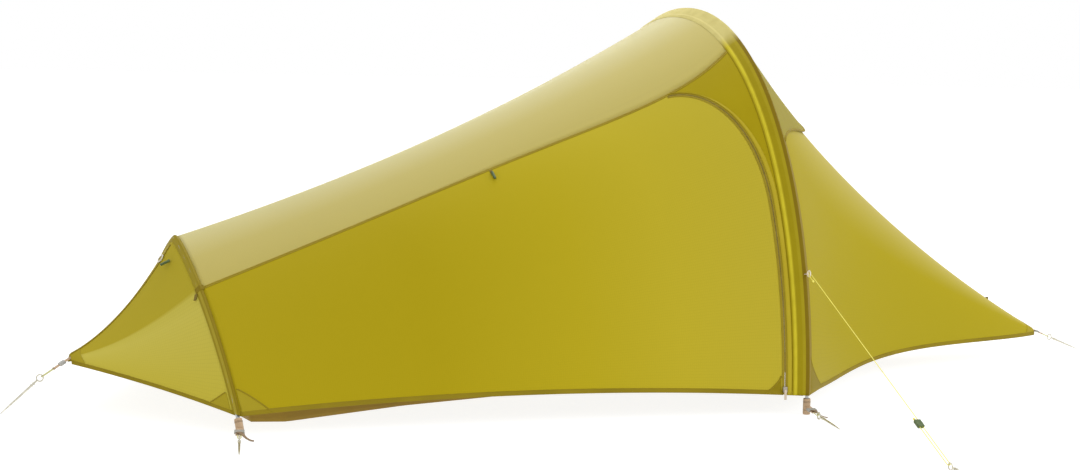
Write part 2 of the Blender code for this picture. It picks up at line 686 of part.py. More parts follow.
def make_pole(name, hoop, sections):
    start = pole_start(hoop)
    length = (hoop.length - 2 * start) / sections
    cord_hole = 0.010
    for index in range(sections):
        first, last = index == 0, index == sections - 1
        low = start + index * length + (0 if first else CLEARANCE / 2)
        high = start + (index + 1) * length - (0 if last else CLEARANCE / 2)
        if last:
            profile = [(high + TIP_LENGTH, TIP_RADIUS), (high, TIP_RADIUS), (high, POLE_RADIUS)]
        else:
            profile = [(high + SPIGOT_LENGTH, SPIGOT_BORE), (high + SPIGOT_LENGTH, SPIGOT_RADIUS),
                       (high, SPIGOT_RADIUS), (high, POLE_RADIUS)]
        if first:
            profile += [(low, POLE_RADIUS), (low, TIP_RADIUS), (low - TIP_LENGTH, TIP_RADIUS)]
            profile = profile[::-1] + [(low + cord_hole, SPIGOT_BORE)]
        else:
            socket = low + SPIGOT_LENGTH + 2 * CLEARANCE
            profile += [(low, POLE_RADIUS), (low, bore(SPIGOT_RADIUS)), (socket, bore(SPIGOT_RADIUS)), (socket, SPIGOT_BORE)]
            if last:
                profile += [(high - cord_hole, SPIGOT_BORE)]
        points, faces = along_hoop(hoop, POLE_DEPTH, profile, closed=not first and not last)
        keep(f"{name}_pole_{index + 1}", points, faces, "pole_alloy")
    low, high = start + cord_hole + CLEARANCE, hoop.length - start - cord_hole - CLEARANCE
    stops = [low] + list(hoop.stops_between(low, high)) + [high]
    cord(f"{name}_shock_cord", [hoop.at(s, POLE_DEPTH) for s in stops], SHOCK_CORD_RADIUS, "shock_cord")
    sleeve = [(SLEEVE_START, SLEEVE_RADIUS), (hoop.length - SLEEVE_START, SLEEVE_RADIUS),
              (hoop.length - SLEEVE_START, SLEEVE_RADIUS - SLEEVE_WALL), (SLEEVE_START, SLEEVE_RADIUS - SLEEVE_WALL)]
    points, faces = along_hoop(hoop, SLEEVE_RADIUS, sleeve, closed=True)
    keep(f"{name}_pole_sleeve", points, faces, "sleeve_cloth")


def pocket(name, hoop, far, slot="webbing"):
    """Cup that the pole tip stands in."""
    low = pocket_base(hoop)
    step = low + POCKET_FLOOR + TIP_LENGTH
    profile = [(low, POCKET_RADIUS), (low + POCKET_LENGTH, POCKET_RADIUS), (low + POCKET_LENGTH, bore(POLE_RADIUS)),
               (step, bore(POLE_RADIUS)), (step, bore(TIP_RADIUS)), (low + POCKET_FLOOR, bore(TIP_RADIUS))]
    points, faces = along_hoop(hoop, POLE_DEPTH, profile)
    if far:
        points = far_half(points)
    return keep(name, points, faces, slot)


make_pole("main", main_hoop, MAIN_SECTIONS)
make_pole("foot", foot_hoop, FOOT_SECTIONS)


# Anchors round the hem
def eye_loop(centre, line, side, tail, spread=None):
    """Cord round the wire of a peg's ring, with two legs back towards the tent."""
    half = spread or LOOP_HALF_WIDTH
    wire = centre - line * PEG_RING_RADIUS
    bend = [wire + half * (math.cos(a) * line + math.sin(a) * side) for a in np.linspace(math.pi / 2, -math.pi / 2, 7)]
    return [wire + half * side - line * tail] + bend + [wire - half * side - line * tail]


def peg(name, centre, out, side):
    """A peg with a round eye, lying so that its tip just clears the ground."""
    tip_z = PEG_TIP_RADIUS + GROUND_GAP
    fall = math.asin((centre[2] - tip_z) / PEG_LENGTH)
    axis = math.cos(fall) * out - math.sin(fall) * UP
    eye = torus(name, centre, out, UP, PEG_RING_RADIUS, PEG_WIRE_RADIUS, "peg_alloy")
    r = PEG_RING_RADIUS
    profile = [(r, 0.0012), (r + 0.003, 0.0026), (r + 0.010, 0.0026), (r + 0.0105, PEG_COLLAR_RADIUS),
               (r + 0.013, PEG_COLLAR_RADIUS), (r + 0.0135, 0.0026), (r + 0.016, 0.0026),
               (r + 0.0165, PEG_COLLAR_RADIUS), (r + 0.019, PEG_COLLAR_RADIUS), (r + 0.0195, PEG_SHAFT_RADIUS),
               (PEG_LENGTH * 0.7, 0.0026), (PEG_LENGTH, PEG_TIP_RADIUS)]
    return join(eye, [turned(name + "_shaft", centre, axis, profile, "peg_alloy", cutters)])


def anchor(name, start, centre, loop_length, cup=None):
    """Webbing from the tent with an adjuster on it, a cord loop at its end and a peg."""
    line = normalised(centre - start)
    out = normalised(line * np.array([1.0, 1.0, 0.0]))
    side = np.cross(UP, out)
    thick = np.cross(line, side)
    end = centre - line * (PEG_RING_RADIUS + loop_length)
    strip = block(name + "_strip" if cup else name + "_webbing", (start + end) / 2, (end - start) / 2,
                  side * WEBBING_WIDTH / 2, thick * WEBBING_THICKNESS / 2, "webbing", cutters if cup else parts)
    loop = cord(name + "_loop", eye_loop(centre, line, side, loop_length + LOOP_SEWN), LOOP_CORD_RADIUS, "webbing", cutters)
    join(cup or strip, [strip, loop] if cup else [loop])
    free_start = start + line * (POCKET_RADIUS if cup else 0.011)
    middle = (free_start + end - line * LOOP_SEWN) / 2
    length, width, height = ADJUSTER_SIZE
    block(name + "_adjuster", middle, line * length / 2, side * width / 2, thick * height / 2, "hardware_plastic",
          tunnels=[(0.0, side * (WEBBING_WIDTH / 2 + 0.0006), thick * (WEBBING_THICKNESS / 2 + 0.0005))])
    peg(name + "_peg", centre, out, side)
    return {"line": line, "side": side, "middle": middle, "centre": centre,
            "slack": float(np.linalg.norm(end - line * LOOP_SEWN - free_start) - length) / 2}


RING_Z = PEG_RING_RADIUS + PEG_WIRE_RADIUS + GROUND_GAP
anchors = {}
for name, hoop, out in (("front_corner", main_hoop, CORNER_OUT_FRONT), ("rear_corner", foot_hoop, CORNER_OUT_REAR)):
    for far in (False, True):
        label = ("far_" if far else "near_") + name
        cup = pocket(label + "_webbing", hoop, far)
        out_far = np.array([out[0], out[1] * (-1 if far else 1), 0.0])
        out_far = normalised(out_far)
        foot = hoop.at(pocket_base(hoop) + 0.022, POLE_DEPTH) * np.array([1.0, -1.0 if far else 1.0, 1.0])
        centre = np.append((foot + out_far * CORNER_REACH)[:2], RING_Z)
        start = foot + normalised(centre - foot) * 0.0072
        anchors[label] = anchor(label, start, centre, LOOP_LENGTH, cup)
for label, surface, sign, reach, drop in (("front_point", front, 1.0, *FRONT_RING), ("rear_point", rear, -1.0, *REAR_RING)):
    rim = surface(np.ones(60), np.linspace(NEAR_SEAM, RIDGE, 60))
    under = np.interp(-WEBBING_WIDTH / 2 - 0.0005, rim[:, 1], rim[:, 2]) - 2.4 * FABRIC - WEBBING_THICKNESS / 2 - CLEARANCE
    start = np.array([rim[0, 0], 0.0, under]) + normalised(np.array([-sign * reach, 0.0, drop])) * 0.010
    centre = np.array([rim[0, 0] + sign * reach, 0.0, under - drop])
    anchors[label] = anchor(label, start, centre, TIP_LOOP_LENGTH)


# Guyline: tied to a ring on the main hoop, round a peg's eye and back up to the tensioner
guy_distance = float(np.interp(GUY_HEIGHT, main_hoop.points[:MAIN_SEGMENTS // 2, 2], main_hoop.knots[:MAIN_SEGMENTS // 2]))
hoop_side = main_hoop.at(guy_distance, SLEEVE_FLAT)
ring_place = main_hoop.at(guy_distance, -(GUY_RING_RADIUS + PEG_WIRE_RADIUS + 0.006))
guy_peg_centre = np.array([*GUY_END, RING_Z])
guy_line = normalised(guy_peg_centre - ring_place)
guy_out = normalised(guy_line * np.array([1.0, 1.0, 0.0]))
guy_side = np.cross(UP, guy_out)
guy_out_hoop = normalised(ring_place - hoop_side)
holder = torus("guyline_ring", ring_place, guy_out, UP, GUY_RING_RADIUS, PEG_WIRE_RADIUS, "hardware_plastic")
tab_start, tab_end = hoop_side + guy_out_hoop * 0.0004, ring_place - guy_out_hoop * (GUY_RING_RADIUS - PEG_WIRE_RADIUS)
tab_up = normalised(np.cross(np.array([1.0, 0.0, 0.0]), guy_out_hoop))
join(holder, [block("guyline_tab", (tab_start + tab_end) / 2, (tab_end - tab_start) / 2, np.array([0.0045, 0.0, 0.0]),
                    tab_up * 0.0012, "webbing", cutters)])
half = GUY_STRAND_GAP / 2
bearing = half - GUY_CORD_RADIUS - PEG_WIRE_RADIUS - 0.0003
upper_wire = ring_place + guy_line * (GUY_RING_RADIUS + bearing)
guy_length = float(np.linalg.norm(guy_peg_centre - ring_place))
lower = eye_loop(guy_peg_centre - guy_line * bearing, guy_line, guy_side, 0.0, half)[1:-1]
tie = [upper_wire + half * (-math.cos(a) * guy_line + math.sin(a) * guy_side) for a in np.linspace(-math.pi / 2, math.pi / 2, 7)]
tensioner_place = ring_place + guy_line * guy_length * TENSIONER_SHARE
tail_end = tensioner_place - guy_line * (TENSIONER_SIZE[0] / 2 + 0.006) - guy_side * half
path = [upper_wire - half * guy_side + guy_line * 0.030] + tie + lower + [tail_end]
cord("guyline", path, GUY_CORD_RADIUS, "guy_cord")
l, w, h = (size / 2 for size in TENSIONER_SIZE)
guy_thick = np.cross(guy_line, guy_side)
hole = GUY_CORD_RADIUS + 0.0005
block("guyline_tensioner", tensioner_place, guy_line * l, guy_side * w, guy_thick * h, "toggle_plastic",
      tunnels=[(guy_side * half, guy_side * hole, guy_thick * hole), (-guy_side * half, guy_side * hole, guy_thick * hole)])
peg("guyline_peg", guy_peg_centre, guy_out, guy_side)

# Zip slider on the track and its pull, which hangs below the hem
x_dir = np.array([1.0, 0.0, 0.0])
track_points = [wall(ZIP_X, r)[1:] for r in (0.03, 0.18, 0.33)]
(ay, az), (by, bz), (cy, cz) = track_points
square = [y * y + z * z for y, z in track_points]
double = 2 * (ay * (bz - cz) + by * (cz - az) + cy * (az - bz))
turn_y = (square[0] * (bz - cz) + square[1] * (cz - az) + square[2] * (az - bz)) / double
turn_z = (square[0] * (cy - by) + square[1] * (ay - cy) + square[2] * (by - ay)) / double
slider_turn = np.array([float(wall(ZIP_X, 0.03)[0]), turn_y, turn_z])
low_slider = wall(ZIP_X, SLIDER_START)
low_slider = touch(zip_track, low_slider, normalised((low_slider - slider_turn) * np.array([0.0, 1.0, 1.0])))
slider_out = normalised((low_slider - slider_turn) * np.array([0.0, 1.0, 1.0]))
slider_up = np.cross(slider_out, x_dir) * np.sign(np.cross(slider_out, x_dir)[2])
slider_side = wall(ZIP_X + 0.006, SLIDER_START) - wall(ZIP_X - 0.006, SLIDER_START)
slider_side = normalised(slider_side - slider_up * float(slider_side @ slider_up))
slider_out = np.cross(slider_side, slider_up)
sw, st, sh = SLIDER_SIZE
slider_centre = low_slider + slider_out * (SLIDER_LIFT + st / 2)
block("zip_slider", slider_centre, slider_up * sh / 2, slider_side * sw / 2, slider_out * st / 2, "hardware_plastic")
pull_top = slider_centre + slider_out * (st / 2 + 0.0005 + PULL_SIZE[1] / 2)
block("zip_pull", pull_top - slider_up * PULL_SIZE[2] / 2, slider_up * PULL_SIZE[2] / 2, slider_side * PULL_SIZE[0] / 2,
      slider_out * PULL_SIZE[1] / 2, "webbing")

# Loop and toggle at the seam that hold the door when it is open
tie_r = float(seam_height(TIE_X, -TIE_DROP))
tie_out = wall_out(TIE_X, tie_r)
tie_up = normalised(np.cross(tie_out, x_dir))
tie_up = tie_up * np.sign(tie_up[2])
tie_across = np.cross(tie_up, tie_out)
tie_place = touch(near_wall, wall(TIE_X, tie_r), tie_out) + tie_out * (0.0007 + TIE_GAP)
block("door_tie_loop", tie_place, tie_up * 0.009, tie_across * 0.004, tie_out * 0.0007, "webbing")
toggle_top = tie_place + tie_out * (0.0007 + 0.0006 + TOGGLE_RADIUS) - tie_up * 0.002
turned("door_toggle", toggle_top, -tie_up, [(0.0, 0.0022), (0.001, TOGGLE_RADIUS), (TOGGLE_LENGTH - 0.001, TOGGLE_RADIUS),
       (TOGGLE_LENGTH, 0.0022)], "toggle_plastic")

# Ring and toggle at the top of the foot hoop
crest_out = rear(0.16, RIDGE) - rear(0.12, RIDGE)
crest_run = normalised(crest_out * np.array([1.0, 0.0, 1.0]))
crest_up = np.cross(np.array([0.0, 1.0, 0.0]), crest_run)
crest_up = crest_up * np.sign(crest_up[2])
foot_ring_place = rear(0.13, RIDGE) + crest_up * (PEG_WIRE_RADIUS + 0.0010)
torus("foot_ring", foot_ring_place, crest_run, np.array([0.0, 1.0, 0.0]), FOOT_RING_RADIUS, PEG_WIRE_RADIUS, "hardware_plastic")
foot_toggle_axis = normalised(np.array([-1.0, 0.0, -0.45]))
slope = normalised(np.cross(rear(0.10, 1.75) - rear(0.08, 1.75), rear(0.09, 1.80) - rear(0.09, 1.70)))
slope = slope * np.sign(slope[2])
foot_toggle_place = touch(rear_near, rear(0.09, 1.75), slope) + slope * 0.0034
turned("foot_toggle", foot_toggle_place, foot_toggle_axis, [(0.0, 0.0022), (0.001, TOGGLE_RADIUS),
       (TOGGLE_LENGTH - 0.001, TOGGLE_RADIUS), (TOGGLE_LENGTH, 0.0022)], "toggle_plastic")


# Inner tent
def station(index, share, top_height=None):
    """Point on the canopy's arch at a plan station, whose peak hangs under the fly's ridge."""
    x, near, far, height = INNER_STATIONS[index]
    height = top_height or height
    base = TUB_HEIGHT + RIM_GAP
    power = np.interp(x, [-HOOP_SPACING, 0.0], INNER_POWERS)
    swing, lift = math.cos(math.pi * share), math.sin(math.pi * share)
    half = INNER_PEAK_Y - near if swing > 0 else far - INNER_PEAK_Y
    y = INNER_PEAK_Y - math.copysign(half * abs(swing) ** power, swing)
    return np.array([x, y, base + (height - base) * lift ** power])


last_station = len(INNER_STATIONS) - 1
shares = np.linspace(0.0, 1.0, 15)
flat = TUB_HEIGHT + RIM_GAP + 0.004
arches = [[station(0, s, flat) for s in shares]]
arches += [[station(i, s) for s in shares] for i in range(last_station + 1)]
arches += [[station(last_station, s, flat) for s in shares]]
arches = np.array(arches)
arches[0][:, 0] -= 0.006
arches[-1][:, 0] += 0.050
arches[1][:, 0] += 0.004
arches[:2, :, 2] += FOOT_RISE
entrance_stations = [i + 1 for i, s in enumerate(INNER_STATIONS) if ENTRANCE[0] <= s[0] < ENTRANCE[1]]
canopy = cloth("inner_canopy", arches, "inner_cloth", INNER_CLOTH,
               left_out=lambda i, k: i in entrance_stations and ENTRANCE_ROWS[0] <= k < ENTRANCE_ROWS[1])
for index in HANGER_STATIONS:
    peak = station(index, 0.5)
    hook = touch(roof, peak + UP, UP)
    hook[2] -= 1.2 * FABRIC + 0.0003 + HANGER_RADIUS * 0.3
    join(canopy, [turned(f"inner_hanger_{index}", peak - 0.0006 * UP, UP, [(0.0, HANGER_RADIUS), (hook[2] - peak[2], HANGER_RADIUS)],
                         "inner_cloth", cutters)])

outline = [(x, near) for x, near, _, _ in INNER_STATIONS] + [(x, far) for x, _, far, _ in INNER_STATIONS[::-1]]
outline = np.array(outline)
outline[[0, -1], 0] -= 0.006
outline[[last_station, last_station + 1], 0] += 0.050
middle = outline.mean(0)
inset = outline + normalised(middle - outline) * TUB_SPLAY
floor = np.column_stack([inset, np.zeros(len(inset))])
rim = np.column_stack([outline, np.full(len(outline), TUB_HEIGHT)])
points, faces = loft([floor, rim])
tub = keep("groundsheet", points, faces, "ground_cloth")
shape = bmesh.new()
shape.from_mesh(tub.data)
bmesh.ops.delete(shape, geom=[face for face in shape.faces if min(v.co.z for v in face.verts) > TUB_HEIGHT - 0.001],
                 context="FACES_ONLY")
shape.to_mesh(tub.data)
shape.free()
thick = tub.modifiers.new("cloth thickness", "SOLIDIFY")
thick.thickness = TUB_SHEET
thick.offset = -1.0
thick.use_even_offset = True

roll_from = np.array([-0.900, -0.172, TUB_SHEET + ROLL_RADIUS + 0.0003])
roll_to = np.array([-0.130, -0.078, TUB_SHEET + ROLL_RADIUS + 0.0003])
roll_axis = normalised(roll_to - roll_from)
turned("inner_door_roll", roll_from, roll_axis, [(0.0, ROLL_RADIUS), (float(np.linalg.norm(roll_to - roll_from)), ROLL_RADIUS)],
       "mesh_cloth", sides=12)
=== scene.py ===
"""Dresses the tunnel tent: fine cloth, seams, zip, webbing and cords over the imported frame."""
import json
import math

import bmesh
import bpy
import numpy as np
from mathutils import Matrix, Vector

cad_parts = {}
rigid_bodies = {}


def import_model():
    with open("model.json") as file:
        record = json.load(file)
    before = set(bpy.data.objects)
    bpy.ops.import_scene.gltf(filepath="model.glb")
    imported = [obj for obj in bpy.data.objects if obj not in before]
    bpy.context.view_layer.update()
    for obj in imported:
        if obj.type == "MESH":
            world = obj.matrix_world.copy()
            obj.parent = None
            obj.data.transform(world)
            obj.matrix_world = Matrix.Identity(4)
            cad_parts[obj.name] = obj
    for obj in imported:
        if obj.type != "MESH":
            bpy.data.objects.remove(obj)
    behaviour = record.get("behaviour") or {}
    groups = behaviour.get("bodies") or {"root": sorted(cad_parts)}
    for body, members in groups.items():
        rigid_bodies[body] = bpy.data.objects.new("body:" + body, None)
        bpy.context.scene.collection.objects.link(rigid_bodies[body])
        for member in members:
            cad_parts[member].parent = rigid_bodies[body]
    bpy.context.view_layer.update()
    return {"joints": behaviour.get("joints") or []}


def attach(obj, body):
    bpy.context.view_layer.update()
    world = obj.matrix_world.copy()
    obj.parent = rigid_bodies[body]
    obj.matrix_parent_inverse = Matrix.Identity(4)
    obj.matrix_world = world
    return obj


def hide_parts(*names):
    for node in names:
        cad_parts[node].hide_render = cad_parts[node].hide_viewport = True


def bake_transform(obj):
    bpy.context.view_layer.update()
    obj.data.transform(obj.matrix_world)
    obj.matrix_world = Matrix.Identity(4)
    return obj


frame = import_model()


cad_names = {o.name for o in bpy.context.scene.objects if o.type == "MESH"}

# Sizes, as in the part's source
HOOP_SPACING = 1.467
MAIN_HALF_WIDTH = 0.664
MAIN_HEIGHT = 1.050
MAIN_SQUARENESS = 2.08
FOOT_HALF_WIDTH = 0.464
FOOT_HEIGHT = 0.432
FOOT_LEAN = -0.053
FOOT_SQUARENESS = 1.27
FRONT_REACH = 1.332
FRONT_TIP_HEIGHT = 0.060
REAR_REACH = 0.286
REAR_TIP_HEIGHT = 0.121
TIP_HALF_WIDTH = 0.020
TIP_RISE = 0.022
HEM_HEIGHT = 0.050
SEAM_SHARE = 0.40
SEAM_DIP = 0.068
SEAM_DIP_PEAK = 0.83
TUNNEL_RIDGE_SAG = 0.044
TUNNEL_HEM_RISE = 0.022
TUNNEL_HEM_DRAW = 0.030
FRONT_RIDGE_SAG = 0.080
FRONT_HEM_RISE = 0.006
FRONT_HEM_DRAW = 0.150
FRONT_HEM_PEAK = 0.58
FRONT_HEM_DROOP = 0.022
FRONT_DROOP_PEAK = 0.28
REAR_RIDGE_SAG = 0.040
REAR_HEM_RISE = 0.006
REAR_HEM_DRAW = 0.012
SKIN_DEPTH = 0.0040
DOOR_HINGE_LOW = 0.66
DOOR_HINGE_TOP = 0.800
ZIP_SETBACK = 0.062
ZIP_BEND_START = 0.521
ZIP_BEND_SPAN = 0.205
ZIP_HALF_WIDTH = 0.006
HOOD_REACH = 0.375
HOOD_POINT = 1.4
HOOD_LIP_LIFT = 0.0045
HOOD_LIFT = 0.031
HOOD_CORNER = 0.66
VENT_OVERLAP = 0.055
GUY_END = (-0.095, -1.350)
GUY_CORD_RADIUS = 0.0010
GUY_RING_RADIUS = 0.0075
GUY_STRAND_GAP = 0.0084
TENSIONER_SHARE = 0.80
TENSIONER_LENGTH = 0.024
PEG_RING_RADIUS = 0.0085
PEG_WIRE_RADIUS = 0.0018
RING_Z = PEG_RING_RADIUS + PEG_WIRE_RADIUS + 0.0002
CLOTH = 0.0005

NEAR_HEM, NEAR_SEAM, RIDGE, FAR_HEM = 0.0, 1.0, 2.0, 4.0
GIRTHS = (NEAR_HEM, NEAR_SEAM, RIDGE, FAR_HEM - NEAR_SEAM, FAR_HEM)
AHEAD, UP = np.array([1.0, 0.0, 0.0]), np.array([0.0, 0.0, 1.0])


def unit(vector):
    vector = np.asarray(vector, float)
    return vector / np.linalg.norm(vector, axis=-1, keepdims=True)


def walk(points):
    """Distances walked along a line of points."""
    return np.concatenate([[0.0], np.cumsum(np.linalg.norm(np.diff(points, axis=0), axis=1))])


def pick(places, walked, points):
    """Points at places along a line whose own points lie at the walked distances."""
    return np.stack([np.interp(places, walked, column) for column in np.asarray(points).T], -1)


def between(first, last, shares):
    """Points or rows on the straight way from the first to the last."""
    first, last = np.asarray(first, float), np.asarray(last, float)
    return np.array([first + (last - first) * share for share in shares])


def along(start, way, first, last, count):
    """Points along a way, from the first distance to the last."""
    return start + way * np.linspace(first, last, count)[:, None]


def swell(share, peak):
    """Curve that leaves 0 at both ends and reaches 1 at its peak."""
    share = np.clip(share, 0.0, 1.0)
    power = peak / (1 - peak)
    return share**power * (1 - share) / (peak**power * (1 - peak))


def smooth(edge0, edge1, value):
    t = np.clip((np.asarray(value, float) - edge0) / (edge1 - edge0), 0.0, 1.0)
    return t * t * (3 - 2 * t)


class Hoop:
    """An arch with a superellipse outline, walked by distance from its near foot."""

    def __init__(self, station, half_width, height, lean, squareness, segments):
        angle = np.linspace(0.0, math.pi, 4001)
        y = -half_width * np.sign(np.cos(angle)) * np.abs(np.cos(angle)) ** (2 / squareness)
        z = height * np.abs(np.sin(angle)) ** (2 / squareness)
        outline = np.stack([station + lean * z, y, z], 1)
        walked = walk(outline)
        self.half_width = half_width
        self.height = height
        self.length = float(walked[-1])
        self.hem = float(np.interp(HEM_HEIGHT, z[:2000], walked[:2000]))
        self.seam = float(np.interp(-SEAM_SHARE * half_width, y, walked))
        self.stops = [self.hem, self.seam, self.length / 2, self.length - self.seam, self.length - self.hem]
        self.knots = np.linspace(0.0, self.length, segments + 1)
        self.points = pick(self.knots, walked, outline)
        self.runs = unit(np.gradient(self.points, axis=0))
        self.inward = np.cross(self.runs, unit([1.0, 0.0, -lean]))

    def at(self, girth):
        """Point of the fly on the hoop: girth 0 is the near hem, 2 the ridge and 4 the far hem."""
        distance = np.interp(girth, GIRTHS, self.stops)
        return pick(distance, self.knots, self.points + SKIN_DEPTH * self.inward)

    def girth(self, distance):
        return np.interp(distance, self.stops, GIRTHS)

    def inward_at(self, distance):
        return unit(pick(distance, self.knots, self.inward))


main_hoop = Hoop(0.0, MAIN_HALF_WIDTH, MAIN_HEIGHT, 0.0, MAIN_SQUARENESS, 300)
foot_hoop = Hoop(-HOOP_SPACING, FOOT_HALF_WIDTH, FOOT_HEIGHT, FOOT_LEAN, FOOT_SQUARENESS, 200)
WALL_LENGTH = main_hoop.seam - main_hoop.hem


def tip_of(hoop, x, height):
    """The hoop's outline shrunk to the small rounded end of an apse."""
    def at(girth):
        point = hoop.at(girth)
        y = point[..., 1] * TIP_HALF_WIDTH / hoop.half_width
        z = height + (point[..., 2] - HEM_HEIGHT) * TIP_RISE / (hoop.height - HEM_HEIGHT)
        return np.stack([np.full_like(y, x), y, z], -1)
    return at


def drape(start_of, end_of, share, girth, ridge_sag, hem_rise, hem_draw, hem_peak=0.5):
    """Straight lines between two outlines, drawn in between them as tensioned cloth is."""
    share = np.asarray(share, float)
    start, end = start_of(girth), end_of(girth)
    point = start + (end - start) * share[..., None]
    low = start_of(NEAR_HEM)[2] * (1 - share) + end_of(NEAR_HEM)[2] * share
    top = start_of(RIDGE)[2] * (1 - share) + end_of(RIDGE)[2] * share
    rise = np.clip((point[..., 2] - low) / (top - low), 0, 1)
    point[..., 2] += hem_rise * swell(share, hem_peak) * (1 - rise) - ridge_sag * swell(share, 0.5) * rise
    reach = abs(start_of(NEAR_HEM)[1]) * (1 - hem_peak) + abs(end_of(NEAR_HEM)[1]) * hem_peak
    point[..., 1] *= 1 - swell(share, hem_peak) * hem_draw / reach
    return point


front_tip = tip_of(main_hoop, FRONT_REACH, FRONT_TIP_HEIGHT)
rear_tip = tip_of(foot_hoop, -HOOP_SPACING - REAR_REACH, REAR_TIP_HEIGHT)


def tunnel(share, girth):
    return drape(foot_hoop.at, main_hoop.at, share, girth, TUNNEL_RIDGE_SAG, TUNNEL_HEM_RISE,
                 TUNNEL_HEM_DRAW)


def front(share, girth):
    """Front apse, with its hem hanging a little lower beside the hoop, as in the photo."""
    point = drape(main_hoop.at, front_tip, share, girth, FRONT_RIDGE_SAG, FRONT_HEM_RISE, FRONT_HEM_DRAW,
                  FRONT_HEM_PEAK)
    place = np.asarray(share, float) / FRONT_DROOP_PEAK
    droop = (place * np.exp(1 - place)) ** 3 * (1 - place * FRONT_DROOP_PEAK) / (1 - FRONT_DROOP_PEAK)
    point[..., 2] -= FRONT_HEM_DROOP * droop * ((RIDGE - np.asarray(girth, float)) / RIDGE) ** 2
    return point


def rear(share, girth):
    return drape(foot_hoop.at, rear_tip, share, girth, REAR_RIDGE_SAG, REAR_HEM_RISE, REAR_HEM_DRAW)


def seam_girth(share):
    return NEAR_SEAM - SEAM_DIP / WALL_LENGTH * swell(np.asarray(share, float), SEAM_DIP_PEAK)


def wall(flat):
    """Near wall from its flat cut: x from the foot hoop, then height up from the hem."""
    flat = np.asarray(flat, float)
    return tunnel(flat[..., 0] / HOOP_SPACING, flat[..., 1] / WALL_LENGTH)


def seam_height(x):
    return seam_girth(np.asarray(x, float) / HOOP_SPACING) * WALL_LENGTH


ZIP_X = HOOP_SPACING - ZIP_SETBACK
ZIP_BEND_RISE = float(seam_height(ZIP_X - ZIP_BEND_SPAN)) - ZIP_BEND_START
ZIP_LAST_TURN = math.asin(1 - (ZIP_HALF_WIDTH + 0.0012) / ZIP_BEND_RISE)


def zip_line(offset, steps=40):
    """Flat line of the zip from the hem to its end at the seam, set off towards the main hoop."""
    line = [(ZIP_X + offset, r) for r in np.linspace(0.0, ZIP_BEND_START, steps + 1)[:-1]]
    for turn in np.linspace(0.0, ZIP_LAST_TURN, steps):
        sine, cosine = math.sin(turn), math.cos(turn)
        centre = np.array([ZIP_X - ZIP_BEND_SPAN * (1 - cosine), ZIP_BEND_START + ZIP_BEND_RISE * sine])
        run = unit([-ZIP_BEND_SPAN * sine, ZIP_BEND_RISE * cosine])
        line.append(centre + offset * np.array([run[1], -run[0]]))
    return np.array(line)


def hinge_x(share):
    return DOOR_HINGE_LOW + (DOOR_HINGE_TOP - DOOR_HINGE_LOW) * share


def linked(name, data):
    made = bpy.data.objects.new(name, data)
    bpy.context.scene.collection.objects.link(made)
    return made


# Camera at the photograph's viewing angle
PHOTO_WIDTH, FOCAL_PIXELS, SENSOR_WIDTH = 1080, 1991.86, 36.0
YAW, PITCH, ROLL = 0.4878, 0.0963, 0.0288
CAMERA_PLACE = (-3.0152, -4.8363, 0.9408)
camera_data = bpy.data.cameras.new("camera")
camera_data.sensor_width = SENSOR_WIDTH
camera_data.lens = FOCAL_PIXELS / PHOTO_WIDTH * SENSOR_WIDTH
camera = linked("camera", camera_data)
forward = np.array([math.sin(YAW) * math.cos(PITCH), math.cos(YAW) * math.cos(PITCH), -math.sin(PITCH)])
right = np.array([math.cos(YAW), -math.sin(YAW), 0.0])
upward = np.cross(right, forward)
turned_right = right * math.cos(ROLL) + upward * math.sin(ROLL)
turned_up = upward * math.cos(ROLL) - right * math.sin(ROLL)
camera_rows = np.column_stack([turned_right, turned_up, -forward, CAMERA_PLACE]).tolist()
camera.matrix_world = Matrix([*camera_rows, (0.0, 0.0, 0.0, 1.0)])
bpy.context.scene.camera = camera


